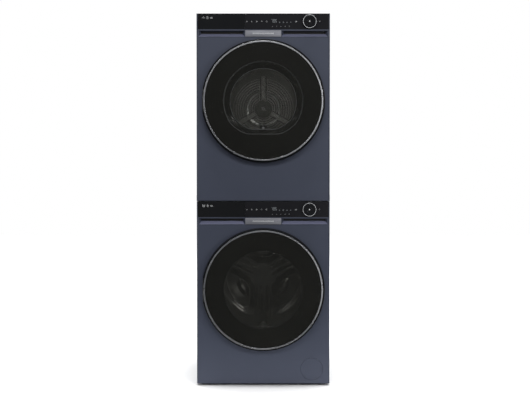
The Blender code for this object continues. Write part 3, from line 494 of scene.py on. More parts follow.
def stroke(start, end, width, y, thick=0.00012):
    """A thin raised bar in the XZ plane from one point to another."""
    a, b = Vector(start), Vector(end)
    along = (b - a).normalized() * width / 2
    across = Vector((-along.y, along.x))
    corners = [a - along - across, b + along - across, b + along + across, a - along + across]
    return prism([tuple(c) for c in corners], 1, y - thick, y)


WAVE = [(-0.8, 0.25), (-0.4, 0.5), (0.0, 0.25), (0.4, 0.5), (0.8, 0.25)]
SYMBOLS = {
    "tub": [[(-1, 0.8), (-0.75, -0.8), (0.75, -0.8), (1, 0.8)], WAVE],
    "drop": [[(0, 1), (0.6, 0), (0.4, -0.75), (-0.4, -0.75), (-0.6, 0), (0, 1)]],
    "cold": [[(0, -1), (0, 1)], [(-0.87, -0.5), (0.87, 0.5)], [(-0.87, 0.5), (0.87, -0.5)]],
    "clock": [arc((0, 0), 0.95, 0, 360, 14), [(0, 0.6), (0, 0), (0.45, 0)]],
    "sun": [arc((0, 0), 0.45, 0, 360, 10), [(-1, 0), (-0.7, 0)], [(0.7, 0), (1, 0)], [(0, 0.7), (0, 1)]],
    "waves": [WAVE, [(px, pz - 0.7) for px, pz in WAVE]],
    "lock": [[(-0.7, -0.9), (0.7, -0.9), (0.7, 0.1), (-0.7, 0.1), (-0.7, -0.9)],
             arc((0, 0.1), 0.45, 0, 180, 8)],
    "power": [arc((0, 0), 0.8, 125, 415, 14), [(0, 0.2), (0, 1)]],
    "plus": [[(-0.8, 0), (0.8, 0)], [(0, -0.8), (0, 0.8)]],
    "bars": [[(-0.8, -0.8), (-0.8, 0)], [(0, -0.8), (0, 0.4)], [(0.8, -0.8), (0.8, 0.8)]],
}
SEGMENTS = {
    "top": ((-1, 2), (1, 2)), "middle": ((-1, 0), (1, 0)), "bottom": ((-1, -2), (1, -2)),
    "upper_left": ((-1, 0), (-1, 2)), "upper_right": ((1, 0), (1, 2)),
    "lower_left": ((-1, -2), (-1, 0)), "lower_right": ((1, -2), (1, 0)),
}
DIGITS = {
    "0": ("top", "bottom", "upper_left", "upper_right", "lower_left", "lower_right"),
    "1": ("upper_right", "lower_right"),
    "5": ("top", "upper_left", "middle", "lower_right", "bottom"),
}


def symbols(names, x, pitch, z, size, width):
    """Symbols in a row on the fascia. Their lines are given in a box from -1 to 1, scaled to half a size."""
    parts = []
    for i, name in enumerate(names):
        for line in SYMBOLS[name]:
            placed = [(x + pitch * i + px * size / 2, z + pz * size / 2) for px, pz in line]
            parts += [stroke(a, b, width, FASCIA_FRONT) for a, b in zip(placed, placed[1:])]
    return parts


def digit(sign, x, z, height):
    """One figure of a seven-segment display, drawn with a gap between its segments."""
    unit = height / 4
    parts = []
    for name in DIGITS[sign]:
        start, end = [Vector((x + px * unit, z + pz * unit)) for px, pz in SEGMENTS[name]]
        trim = (end - start).normalized() * unit * 0.35
        parts.append(stroke(start + trim, end - trim, unit * 0.45, FASCIA_FRONT))
    return parts


def plate_ticks(machine):
    """A scale of plain ticks on the trim plate, each sixth one longer."""
    node = f"{machine.name}_trim_plate"
    face, z = low(node).y, middle(node).z
    ticks = []
    for i in range(25):
        x, half = (i - 12) * 0.0038, 0.0016 if i % 6 else 0.0026
        ticks.append(stroke((x, z - half), (x, z + half), 0.0018, face))
    return ticks


def legends(machine):
    """Generic symbols on the fascia: touch keys, a display with its lamps, and the power key."""
    key_z, line_z = machine.down(0.0368), machine.down(0.0275)
    keys = symbols(("waves", "drop", "cold", "sun", "clock"), -0.0738, 0.0222, key_z, 0.0064, 0.0008)
    keys += symbols(["bars"], 0.147, 0, key_z, 0.0064, 0.0009)
    keys += symbols(["power"], 0.253, 0, key_z, 0.006, 0.0009)
    lamp_z = machine.down(0.058)
    lamps = symbols(("lock", "plus", "waves", "bars", "clock"), 0.0417, 0.0188, lamp_z, 0.005, 0.0008)
    figures = []
    for i, sign in enumerate("105"):
        figures += digit(sign, 0.04 + 0.0085 * i, machine.down(0.035), 0.011)
    figures += symbols(("drop", "clock", "waves", "sun"), 0.074, 0.0165, machine.down(0.04), 0.0058, 0.0009)
    figures.append(stroke((0.036, line_z), (0.06, line_z), 0.0007, FASCIA_FRONT))
    marks = ("tub", "drop", "waves") if machine is WASHER else ("sun", "clock", "waves")
    care = symbols(marks, -0.268, 0.0175, machine.down(0.02), 0.0105, 0.0019)
    for part, strokes, ink, body in (
        ("key_symbols", keys, INK, "stack"), ("lamp_symbols", lamps, DIM_INK, "stack"),
        ("display_figures", figures, DISPLAY_LIGHT, "stack"), ("care_symbols", care, INK, machine.pull),
        ("plate_ticks", plate_ticks(machine), INK, "stack"),
    ):
        add(f"{machine.name}_{part}", merged(*strokes), ink, body)


# ---- cabinet


def screw_heads(places, y, radius=0.0042):
    """Domed screw heads on a back wall, each with a crossed recess drawn by two grooves."""
    parts = []
    outline = rounded([(0, y + 0.0024), (radius * 0.6, y + 0.0022), (radius, y), (0, y)], 0.001, 3, False)
    for x, z in places:
        slots = [
            block((x - w, x + w), (y + 0.0012, y + 0.004), (z - h, z + h))
            for w, h in ((radius * 0.6, radius * 0.11), (radius * 0.11, radius * 0.6))
        ]
        parts.append(carve(turned(outline, x, z, SMALL_STEPS), *slots))
    return merged(*parts)


def cabinet_shell(machine):
    """The painted wrap: folded front posts, sides and back, with a step for the worktop."""
    name, inner = machine.name, PANEL_HALF + 0.0004
    right = [(inner, FRONT + 0.014), (inner, FRONT + 0.0008), (inner + 0.0008, FRONT)]
    right += arc((HALF_WIDTH - 0.0035, FRONT + 0.0035), 0.0035, -90, 0, 8)
    right += arc((HALF_WIDTH - 0.006, BACK - 0.006), 0.006, 0, 90, 10)
    path = right + [(-x, y) for x, y in reversed(right)]
    wrap = prism(folded(path, SHEET), 2, machine.bottom, machine.top)
    board = low(f"{name}_worktop")
    cutters = [block((-1, 1), (board.y - 0.0004, 1), (board.z - 0.0004, machine.top + 1))]
    if machine is WASHER:
        cutters.append(rod(0.188, (BACK - 0.02, 1), 0, machine.door_z))
    add(f"{name}_shell", carve(wrap, *cutters), BLUE_STEEL, stands_for=f"{name}_cabinet")


def side_pressings(machine):
    """The shallow raised field pressed into each side wall to stiffen it."""
    bottom, top = machine.bottom + 0.09, machine.down(0.1)
    y = (FRONT + 0.075, BACK - 0.075)
    parts = []
    for side in (-1, 1):
        loops = []
        for inset, rise in ((0, -0.0004), (0.0, 0.0), (0.004, 0.001), (0.01, 0.0014)):
            corners = box_outline((y[0] + inset, y[1] - inset), (bottom + inset, top - inset))
            outline = rounded(corners, 0.03 - inset, 8)
            loops.append([(side * (HALF_WIDTH + rise), py, pz) for py, pz in outline])
        parts.append(lofted(loops))
    add(f"{machine.name}_side_pressings", merged(*parts), BLUE_STEEL)


def top_board(machine):
    """The worktop, with soft edges and a narrow groove behind its front edge."""
    node = f"{machine.name}_worktop"
    (x0, y0, z0), (x1, y1, z1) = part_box(node)
    board = block((x0, x1), (y0, y1), (z0, z1), 0.0035, 5)
    groove = block((-1, 1), (y0 + 0.016, y0 + 0.0175), (z1 - 0.0008, z1 + 1))
    add(f"{machine.name}_top_board", carve(board, groove), BLUE_BOARD, stands_for=node)


def front_sheet(machine):
    """The painted front with softly bent edges, and the rolled edge of its round opening."""
    z, node = machine.door_z, f"{machine.name}_front_panel"
    (x0, y0, z0), (x1, y1, z1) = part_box(node)
    behind = (y0 - 1, y1 - 0.003)
    cutters = [
        block((x0 + SHEET, x1 - SHEET), (y0 + SHEET, y1 + 1), (z0 + SHEET, z1 - SHEET)),
        rod(0.2055, (y0 - 1, y1 - 0.002), 0, z),
        block((-0.274, -0.262), behind, (z - 0.044, z + 0.044)),
        block((0.228, 0.244), behind, (z - 0.014, z + 0.014)),
    ]
    if machine is WASHER:
        hatch = middle("washer_filter_cap")
        cutters.append(rod(0.0507, behind, hatch.x, hatch.z, ROUND_STEPS))
    body = carve(block((x0, x1), (y0, y1), (z0, z1), 0.001, 4), *cutters)
    roll = [(0.2062, y0 + 0.0002), (0.2046, y0 + 0.0004), (0.204, y0 + 0.003), (0.204, y0 + 0.0075),
            (0.2052, y0 + 0.0075), (0.2062, y0 + 0.0016)]
    rolled = turned(rounded(roll, 0.0008, 3), 0, z)
    add(f"{machine.name}_front_sheet", merged(body, rolled), BLUE_STEEL, stands_for=node)


def finger_recesses(machine):
    """The carrier with its two recesses: upward-facing sloping floors in a lighter copy of the blue as painted
    light, a dark strip behind as painted shade in the finger gap, and a dark strip at the seam as painted
    shadow.
    """
    name = machine.name
    carry(f"{name}_panel_carrier", BLUE_PLASTIC, 0.0004)
    mesh = NODES[f"{name}_panel_carrier"].data
    # Painted light: the carrier's faces that tilt upward, the recesses' sloping floors, take the lighter copy
    # of the blue.
    mesh.materials.append(BLUE_SLOPE_PAINTED_LIGHT)
    for face in mesh.polygons:
        face.material_index = int(0.2 < face.normal.z < 0.95)
    deep, top = FRONT + 0.02, high(f"{name}_front_panel").z
    # Painted shade: flat black strips on the recesses' back walls, where the gap behind the lip lies in shade.
    strips = [
        block(x, (deep - 0.0012, deep - HAIR), (machine.down(0.0895), machine.down(0.0778)))
        for x in ((-0.2835, -0.0895), (0.0895, 0.2835))
    ]
    add(f"{name}_recess_strips", merged(*strips), BLACK_PLASTIC)
    # Painted shadow: a dark strip along the seam between the carrier and the front sheet.
    half = PANEL_HALF - 0.002
    seam = block((-half, half), (FRONT + 0.0002, FRONT + 0.003), (top - 0.0008, top + 0.001))
    add(f"{name}_front_seam", seam, HOLE_DARK)


def fascia(machine):
    """The black fascia with a hole for the dial's hub."""
    node = f"{machine.name}_control_panel"
    (x0, y0, z0), (x1, y1, z1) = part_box(node)
    body = block((x0, x1), (y0, y1), (z0, z1), 0.0004, 3)
    hole = rod(0.0156, (-1, 0), machine.dial_x, machine.dial_z, ROUND_STEPS)
    add(f"{machine.name}_fascia", carve(body, hole), BLACK_WINDOW, stands_for=node)


def pull_face(machine):
    """The front of the drawer or tank: a black face over a painted lip that fingers pull on."""
    pull = machine.pull
    (x0, y0, z0), (x1, y1, z1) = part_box(f"{pull}_front")
    x, face_low, behind = (x0, x1), machine.down(0.071), FRONT + 0.0045
    face = block(x, (y0, FRONT + 0.005), (face_low, z1), 0.0004, 3)
    add(f"{pull}_face", face, BLACK_GLOSS, pull, f"{pull}_front")
    lip = block(x, (FRONT - 0.0015, FRONT + 0.003), (z0, face_low + 0.004), 0.0007, 3)
    add(f"{pull}_lip", lip, BLUE_PLASTIC, pull)
    rail = block(x, (behind, FRONT + 0.0168), (z1 - 0.01, z1), 0.0012, 3)
    arm = block((x0 + 0.012, x1 - 0.012), (behind, y1), (machine.down(0.056), machine.down(0.026)), 0.001, 3)
    add(f"{pull}_bracket", merged(rail, arm), BLACK_PLASTIC, pull)


def control_dial(machine):
    """The dial with its bezel, which glows as a painted highlight, and its pointer."""
    body, x, z = f"{machine.name}_dial", machine.dial_x, machine.dial_z
    bore, hub, back, end = 0.0118, 0.015, FASCIA_FRONT - 0.0005, high(body).y
    outline = [
        (bore, DIAL_FACE + 0.0006), (DIAL_RADIUS, DIAL_FACE + 0.0004), (DIAL_RADIUS, back), (hub, back),
        (hub, end), (bore, end),
    ]
    knob = turned(rounded(outline, [0.0007, 0.0012, 0.0006, 0, 0, 0], 4), x, z, ROUND_STEPS)
    add(f"{body}_knob", knob, BLACK_GLOSS, body, body)
    edge = DIAL_RADIUS - 0.0037
    bezel = box_outline((edge, edge + BEZEL_WIDTH), (DIAL_FACE + 0.0006, DIAL_FACE))
    ring = turned(rounded(bezel, [0, 0, 0.0002, 0.0002], 4), x, z, ROUND_STEPS)
    add(f"{body}_bezel", ring, BEZEL_PAINTED_GLOW, body)
    pointer = stroke((x, z + edge - 0.0052), (x, z + edge - 0.0028), 0.001, DIAL_FACE + 0.0005)
    add(f"{body}_pointer", pointer, DIM_INK, body)


def start_button(machine):
    """The dished button in the middle of the dial, with its play mark."""
    body, x, z = f"{machine.name}_start_button", machine.dial_x, machine.dial_z
    radius, face, inside = (high(body).x - low(body).x) / 2, low(body).y, high(body).y
    dish = [(0, face + 0.0004), (radius * 0.7, face + 0.0002), (radius, face), (radius, inside), (0, inside)]
    button = turned(rounded(dish, [0, 0.004, 0.001, 0.0003, 0], 5, False), x, z, ROUND_STEPS)
    add(f"{machine.name}_start_cap", button, BLACK_GLOSS, body, body)
    mark = rounded([(x - 0.0024, z - 0.0036), (x + 0.004, z), (x - 0.0024, z + 0.0036)], 0.0006, 3)
    play = prism(mark, 1, face - 0.00008, face + 0.0004)
    add(f"{machine.name}_play_mark", play, INK, body)


# ---- doors


def dome(radius):
    """The depth of the door glass's outer face at this distance from its middle."""
    return GLASS_CROWN + (GLASS_EDGE - GLASS_CROWN) * (radius / GLASS_RADIUS) ** 2


def door_glass(machine):
    """The domed tinted cover."""
    radii = [GLASS_RADIUS * i / 26 for i in range(27)]
    outer = [(r, dome(r)) for r in radii[:-1]] + [(GLASS_RADIUS - 0.0008, dome(GLASS_RADIUS))]
    outer.append((GLASS_RADIUS, dome(GLASS_RADIUS) + 0.0008))
    inner = [(r, dome(r) + GLASS_THICK) for r in reversed(radii)]
    name, glass = machine.name, turned(outer + inner, 0, machine.door_z)
    add(f"{name}_door_cover", glass, TINTED_GLASS, f"{name}_door", f"{name}_door_glass")


def glass_print(machine, hole):
    """The black print behind the glass, round the window's hole, which is a cutter."""
    radii = [(GLASS_RADIUS - 0.0004) * i / 20 for i in range(21)]
    behind = GLASS_THICK + HAIR
    front = [(r, dome(r) + behind) for r in radii]
    back = [(r, dome(r) + behind + HAIR) for r in reversed(radii)]
    disc = turned(front + back, 0, machine.door_z)
    add(f"{machine.name}_glass_print", carve(disc, hole), PRINT_BLACK, f"{machine.name}_door")


def hinge_relief(z):
    """The cutter that bevels the moulding's front edge beside the hinge, so that the door clears it."""
    bevel = [(0.2686, -0.2875), (0.292, -0.2875), (0.292, -0.2705), (0.2784, -0.2705)]
    turns = [radians(169 + 22 * i / 12) for i in range(13)]
    return lofted([[(r * cos(a), y, z + r * sin(a)) for r, y in bevel] for a in turns])


def door_frame(machine):
    """The black ring of the door, whose chamfered edge frames the silver ring."""
    name, z = machine.name, machine.door_z
    outline = [
        (RING_INNER, -0.2865), (0.27, -0.2865), (0.2758, -0.2848), (DOOR_RADIUS, -0.28),
        (DOOR_RADIUS, -0.2665), (0.27, DOOR_BACK), (0.179, DOOR_BACK), (0.179, -0.27),
        (0.182, -0.27), (0.182, -0.259), (0.268, -0.259), (0.2745, -0.269), (0.2665, -0.2835),
        (RING_INNER, -0.2835),
    ]
    radii = [0, 0.006, 0.004, 0.003, 0.003, 0.005, 0.0012, 0.0008, 0.0008, 0.001, 0.003, 0.003, 0.001, 0]
    ring = turned(rounded(outline, radii, 5), 0, z)
    cutters = [
        block((-0.29, -0.2515), (-0.285, -0.254), (z - 0.046, z + 0.046)),
        block((0.2575, 0.29), (-0.2735, -0.254), (z - 0.055, z + 0.055)),
        block((0.2325, 0.2395), (-0.262, -0.25), (z - 0.0095, z + 0.0095)),
        hinge_relief(z),
    ]
    moulding = carve(ring, *cutters)
    add(f"{name}_door_moulding", moulding, FRAME_BLACK, f"{name}_door", f"{name}_door_frame", sharp=40)
    grip = (z - 0.0545, z + 0.0545)
    liner = merged(
        block((0.2578, 0.259), (-0.2733, -0.2562), grip, HAIR, 2),
        block((0.2578, 0.272), (-0.2735, -0.2727), grip, HAIR, 2),
    )
    add(f"{name}_grip_liner", liner, BLACK_PLASTIC, f"{name}_door")


def silver_ring(machine):
    """The bright ring round the glass."""
    outline = [
        (RING_INNER, RING_BACK), (RING_INNER, RING_FRONT), (RING_RADIUS, RING_FRONT + RING_SLOPE),
        (RING_RADIUS, RING_BACK),
    ]
    name = machine.name
    ring = turned(rounded(outline, [0, 0.0003, 0.0005, 0], 4), 0, machine.door_z, 2 * WHEEL_STEPS)
    add(f"{name}_bright_ring", ring, SILVER, f"{name}_door", f"{name}_door_ring", sharp=50)


def washer_bowl(machine):
    """The deep glass bowl on the inside of the washer's door."""
    outline = [
        (0, -0.1325), (0.125, -0.136), (0.148, -0.156), (0.172, -0.2745), (0.187, -0.2745),
        (0.187, -0.2705), (0.1775, -0.2705), (0.153, -0.154), (0.127, -0.131), (0, -0.1275),
    ]
    radii = [0, 0.03, 0.02, 0.002, 0.001, 0.001, 0.002, 0.02, 0.03, 0]
    bowl = turned(rounded(outline, radii, 8, False), 0, machine.door_z)
    add("washer_bowl", bowl, CLEAR_GLASS, "washer_door", "washer_door_bowl")
    # The rim is a pale band, a painted highlight along the bowl's edge.
    rim = turned(box_outline((0.1705, 0.1765), (-0.2752, -0.2747)), 0, machine.door_z)
    add("washer_bowl_rim", rim, SOFT_RIM_PAINTED_HIGHLIGHT, "washer_door")
    glass_print(machine, rod(0.177, (-0.4, 0), 0, machine.door_z))


WINDOW_CORNER = 0.04


def d_loop(radius, flat, y, corner=WINDOW_CORNER):
    """A D-shaped loop of points, upright at this depth, about the dryer door's middle."""
    return [(px, y, DRYER.door_z + pz) for px, pz in d_outline(radius, flat, corner)]


def d_band(outer, inner, y):
    """A flat D-shaped band between two (radius, flat) outlines."""
    corners = [(outer, y[0]), (inner, y[0]), (inner, y[1]), (outer, y[1])]
    return lofted([d_loop(*outline, level) for outline, level in corners], around=True)


def window_wall():
    """The pan's sloping wall, which narrows towards the back."""
    loops = []
    depths, shrinks = (-0.2712, -0.26, -0.248, -0.24, -0.2375), (0.0, 0.33, 0.66, 0.9, 1.0)
    for wall, turn in ((0.0, 1), (0.0035, -1)):
        for depth, shrink in list(zip(depths, shrinks))[::turn]:
            inset = wall + 0.028 * shrink
            loops.append(d_loop(0.179 - inset, 0.15 - inset * 0.83, depth, WINDOW_CORNER - wall))
    return lofted(loops, around=True)


def dryer_window(machine):
    """The D-shaped glass pan behind the dryer's door: its sloping wall, its pane and its rims, pale bands that
    paint the highlights on its edges.
    """
    add("dryer_window_wall", window_wall(), GLASS_WALL, "dryer_door", "dryer_door_window")
    pane = lofted([d_loop(0.1472, 0.1232, y) for y in (-0.2405, -0.2378)])
    add("dryer_window_pane", pane, CLEAR_GLASS, "dryer_door")
    rim = d_band((0.1805, 0.1515), (0.1745, 0.1455), (-0.275, -0.272))
    edge = d_band((0.1512, 0.1268), (0.148, 0.1236), (-0.243, -0.2408))
    add("dryer_window_rim", rim, GLASS_RIM_PAINTED_HIGHLIGHT, "dryer_door")
    add("dryer_window_edge", edge, GLASS_RIM_PAINTED_HIGHLIGHT, "dryer_door")
    glass_print(machine, lofted([d_loop(0.179, 0.15, y) for y in (-0.4, 0)]))


def door(machine):
    door_frame(machine)
    silver_ring(machine)
    door_glass(machine)
    carry(f"{machine.name}_hinge_leaf", BLACK_ZINC)
    carry(f"{machine.name}_hinge_bracket", BLACK_ZINC)
    carry(f"{machine.name}_door_hook", BLACK_ZINC, 0.0003)


# ---- drums


def smooth(value, start, end):
    """0 before start, 1 after end, and a soft step between them."""
    t = min(1.0, max(0.0, (value - start) / (end - start)))
    return t * t * (3 - 2 * t)


def polar_sheet(radius, depth_at, z, rings):
    """A round sheet whose front face's depth is given by a function of (x, z) from its middle."""
    loops = []
    for offset, order in ((0.0, range(rings + 1)), (SHEET, range(rings, -1, -1))):
        for i in order:
            r = radius * i / rings
            angles = [tau * j / WHEEL_STEPS for j in range(WHEEL_STEPS if i else 1)]
            spots = [(r * cos(a), r * sin(a)) for a in angles]
            loops.append([(px, depth_at(px, pz) + offset, z + pz) for px, pz in spots])
    return lofted(loops)


ARM_ANGLES = (30, 150, 270)


def soft_min(values, blend):
    """The smallest value, with the crossings between them rounded over this width."""
    made = values[0]
    for value in values[1:]:
        share = max(blend - abs(made - value), 0.0) / blend
        made = min(made, value) - share * share * blend / 4
    return made


def ridge(value, width):
    """1 at zero, falling softly to 0 over this width on both sides."""
    return exp(-((value / width) ** 2))


def spider_depth(x, z):
    """The washer drum's back: three flush arms and a rim, with a pressed pocket between each pair."""
    face, relief, arm_half, pocket_end = 0.18, 0.015, 0.041, 0.216
    radius = hypot(x, z)
    depth = face
    for angle in ARM_ANGLES:
        a = radians(angle)
        along = x * cos(a) + z * sin(a)
        across = abs(z * cos(a) - x * sin(a))
        inside = smooth(along, 0.03, 0.07) * (1 - smooth(along, 0.185, 0.215))
        band = 0.004 * (1 - smooth(across, 0.0195, 0.0245))
        lines = 0.004 * ridge(across - arm_half, 0.0045) + 0.0022 * ridge(across - 0.012, 0.004)
        depth -= (band + lines) * inside
        side = [sin(radians(60)) * -along + sign * across * 0.5 - arm_half for sign in (-1, 1)]
        pocket = smooth(soft_min([*side, pocket_end - radius], 0.05), 0.0, 0.03)
        boss = 1 - smooth(hypot((-along - 0.118) / 0.024, across / 0.05), 0.35, 1.1)
        depth += relief * pocket - 0.01 * boss * pocket
    return depth


def dark_ovals(spots, half, z, corners):
    """Flat dark holes, in painted shade, at (angle, radius, y) spots, with half sizes out from the middle,
    round it and along Y.
    """
    bm = bmesh.new()
    outward, around, along = half
    for angle, radius, y in spots:
        points = []
        for k in range(corners):
            c = tau * k / corners
            r, turn = radius + outward * cos(c), angle + around * sin(c) / radius
            points.append(bm.verts.new((r * cos(turn), y + along * cos(c), z + r * sin(turn))))
        bm.faces.new(points)
    return bm


def wall_holes(radius, z, y, rows, pitch, size):
    """Round perforations on the inside of a drum's wall, in staggered rows."""
    count = round(tau * radius / pitch)
    spots = []
    for row in range(rows):
        level = y[0] + (y[1] - y[0]) * row / (rows - 1)
        spots += [(tau * (i + row % 2 / 2) / count, radius, level) for i in range(count)]
    return dark_ovals(spots, (0, size, size), z, 8)


def plate_holes(radii, y, z):
    """Rings of slots in the dryer's back plate, which leave its ribs plain."""
    spots = []
    for radius in radii:
        count = round(tau * radius / 0.0092)
        for i in range(count):
            a = tau * i / count
            leans = [a - radians(rib) for rib in DRYER_RIBS]
            if not any(cos(lean) > 0 and abs(sin(lean)) * radius < 0.0205 for lean in leans):
                spots.append((a, radius, y))
    return dark_ovals(spots, (0.0035, 0.0042, 0), z, 10)


def lifters(wall_radius, angles, y, height, half_width, z):
    """Smooth humps on a drum's wall that lift the laundry."""
    bm = bmesh.new()
    rows, columns = 28, 18
    for angle in angles:
        grid = []
        for i in range(rows + 1):
            u = i / rows
            level = y[0] + (y[1] - y[0]) * u
            ends = smooth(min(u, 1 - u), 0.0, 0.16)
            line = []
            for j in range(columns + 1):
                v = 2 * j / columns - 1
                r = wall_radius + 0.0006 - height * ends * (1 - smooth(abs(v), 0.15, 1.0))
                turn = radians(angle) + v * half_width / wall_radius
                line.append(bm.verts.new((r * cos(turn), level, z + r * sin(turn))))
            grid.append(line)
        for first, second in zip(grid, grid[1:]):
            for j in range(columns):
                bm.faces.new((first[j], first[j + 1], second[j + 1], second[j]))
    return bm


def washer_drum(machine):
    """The polished drum: rolled mouth, perforated wall, pressed back and three lifters."""
    z, radius, wall, body = machine.door_z, 0.262, 0.0015, "washer_drum"
    inside, front, back, mouth = radius - wall, -0.199, 0.19, 0.19
    shoulder = front + 0.02
    outline = [
        (inside, back), (inside, shoulder), (mouth + 0.012, front + wall),
        (mouth, front + wall), (mouth, front), (mouth + 0.012, front), (radius, shoulder), (radius, back),
    ]
    shell = turned(rounded(outline, [0, 0.014, 0.006, 0.0007, 0.0007, 0.006, 0.014, 0], 6), 0, z)
    add("washer_drum_shell", shell, STEEL, body, body)
    plate = polar_sheet(inside - HAIR, spider_depth, z, 90)
    pressed = add("washer_drum_back", plate, PRESSED_STEEL, body, sharp=60).data
    pressed.materials.append(FLANK_PAINTED_SHADE_STEEL)
    # Painted shade: steep faces inside the rim take the darker copy of the steel.
    for face in pressed.polygons:
        near = hypot(face.center.x, face.center.z - z) < 0.172
        face.material_index = int(near and abs(face.normal.y) < 0.978)
    add("washer_drum_holes", wall_holes(inside - HAIR, z, (-0.165, 0.16), 15, 0.022, 0.0021), HOLE_DARK, body)
    humps = lifters(inside, ARM_ANGLES, (-0.165, 0.165), 0.045, 0.036, z)
    add("washer_lifters", humps, STEEL, body, sharp=60)


DRYER_RIBS = (90, 210, 330)
RING_PITCH = 0.01175


def plate_depth(x, z):
    """The dryer drum's back plate: a shallow dish with raised rings between the perforations."""
    r = hypot(x, z)
    face = 0.231
    dish = 0.006 * smooth(r, 0.22, 0.26)
    hub = 0.006 * (1 - smooth(r, 0.04, 0.047))
    waves = 0.0014 * (0.5 - 0.5 * cos(tau * (r - 0.052) / RING_PITCH))
    inside = smooth(r, 0.048, 0.052) * (1 - smooth(r, 0.146, 0.152))
    return face - dish - hub - waves * inside


def spokes_and_grooves(z):
    """The three spokes of the dryer drum's back plate, and a dark groove in painted shade on both sides of
    each.
    """
    spokes, grooves = [], []
    for angle in DRYER_RIBS:
        turn = Matrix.Translation((0, 0, z)) @ Matrix.Rotation(radians(90 - angle), 4, "Y")
        spokes.append(block((-0.0115, 0.0115), (0.2262, 0.2312), (0.044, 0.168), 0.0024, 4))
        for side in (-0.014, 0.014):
            grooves.append(block((side - 0.0022, side + 0.0022), (0.2282, 0.2312), (0.046, 0.16), 0.0006))
        for bar in (spokes[-1], *grooves[-2:]):
            bar.transform(turn)
    add("dryer_drum_spokes", merged(*spokes), STEEL, "dryer_drum")
    add("dryer_spoke_grooves", merged(*grooves), HOLE_DARK, "dryer_drum")


def dryer_back_plate(z, radius):
    """The perforated back plate of the dryer's drum, with its hub and its bright bead."""
    body = "dryer_drum"
    add("dryer_drum_back", polar_sheet(radius, plate_depth, z, 110), STEEL, body, sharp=60)
    outer = turned([(0.1545, 0.2298), (0.262, 0.2248), (0.262, 0.2255), (0.1545, 0.2305)], 0, z)
    add("dryer_drum_outer_plate", outer, DARK_STEEL, body)
    radii = [0.052 + RING_PITCH * i for i in range(9)]
    add("dryer_drum_holes", plate_holes(radii, 0.2308 - HAIR, z), HOLE_DARK, body)
    spokes_and_grooves(z)
    hub = [(0, 0.2225), (0.012, 0.2225), (0.045, 0.2245), (0.045, 0.23), (0, 0.23)]
    add("dryer_drum_hub", turned(rounded(hub, [0, 0.002, 0.003, 0, 0], 5, False), 0, z), DARK_STEEL, body)
    nose = [(0.004, 0.2205), (0.0085, 0.2205), (0.0095, 0.2232), (0.003, 0.2232)]
    band = [
        (0.0765, 0.23), (0.0795, 0.2293), (0.0825, 0.22845), (0.0855, 0.2276), (0.0885, 0.22665),
        (0.0905, 0.2254), (0.0915, 0.225), (0.092, 0.23), (0.0765, 0.2306),
    ]
    bead = merged(turned(rounded(nose, 0.0008, 4), 0, z, ROUND_STEPS), turned(band, 0, z))
    add("dryer_drum_bead", bead, POLISHED, body, sharp=60)


def dryer_drum(machine):
    """The dryer's drum: a ribbed wall, its back plate, lifters and the shaft behind."""
    z, radius, wall, body = machine.door_z, 0.2695, 0.0014, "dryer_drum"
    inside, front, back, lip = radius - wall, -0.1885, 0.234, 0.25
    outline = [
        (inside, back), (inside, 0.02), (inside - 0.003, 0.012), (inside - 0.003, -0.012), (inside, -0.02),
        (inside, front + wall), (lip, front + wall), (lip, front), (radius, front), (radius, back),
    ]
    shell = turned(rounded(outline, [0, 0.01, 0.01, 0.01, 0.01, 0.006, 0.0006, 0.0006, 0.007, 0], 5), 0, z)
    add("dryer_drum_shell", shell, STEEL, body, body)
    dryer_back_plate(z, inside - HAIR)
    add("dryer_lifters", lifters(inside, DRYER_RIBS, (-0.16, 0.2), 0.05, 0.04, z), STEEL, body, sharp=60)
    shaft = rounded([(0, back - HAIR), (0.014, back - HAIR), (0.012, 0.27), (0, 0.27)], 0.001, 3, False)
    add("dryer_drum_shaft", turned(shaft, 0, z, SMALL_STEPS), ZINC, body)


# ---- smaller pieces


def door_seal(machine):
    """The washer's folded rubber seal."""
    fold = [
        (0.203, -0.2528), (0.189, -0.249), (0.186, -0.241), (0.1975, -0.23),
        (0.19, -0.219), (0.196, -0.21),
    ]
    curve = rounded(fold, 0.004, 6, False)
    behind = [(radius + 0.003, y + 0.0006) for radius, y in reversed(curve)]
    seal = turned(curve + behind, 0, machine.door_z)
    add("washer_door_seal", seal, RUBBER, stands_for="washer_gasket", sharp=60)


def levelling_feet():
    """Rubber pads on threaded stems, each with a lock nut under the base."""
    for index in range(1, 5):
        node = f"washer_foot_{index}"
        x, y, top = middle(node).x, middle(node).y, high(node).z
        pad = rounded([(0, 0.0085), (0.0185, 0.0085), (0.0212, 0.0035), (0.0205, 0.0), (0, 0.0)],
                      [0, 0.002, 0.002, 0.0008, 0], 4, False)
        add(f"{node}_pad", upright(pad, x, y, 48), BLACK_PLASTIC, node, node)
        thread = [(0, top), (0.0042, top), (0.0049, top - 0.001)]
        for i in range(int((top - 0.012) / 0.0015)):
            z = top - 0.001 - 0.0015 * i
            thread += [(0.0049, z - 0.0003), (0.0042, z - 0.00075), (0.0049, z - 0.0012)]
        thread += [(0.0049, 0.008), (0, 0.008)]
        nut = [(0, 0.0092), (0.0082, 0.0092), (0.0086, 0.0088), (0.0086, 0.0078), (0, 0.0078)]
        add(f"{node}_stem", merged(upright(thread, x, y), upright(nut, x, y, 6)), ZINC, node)


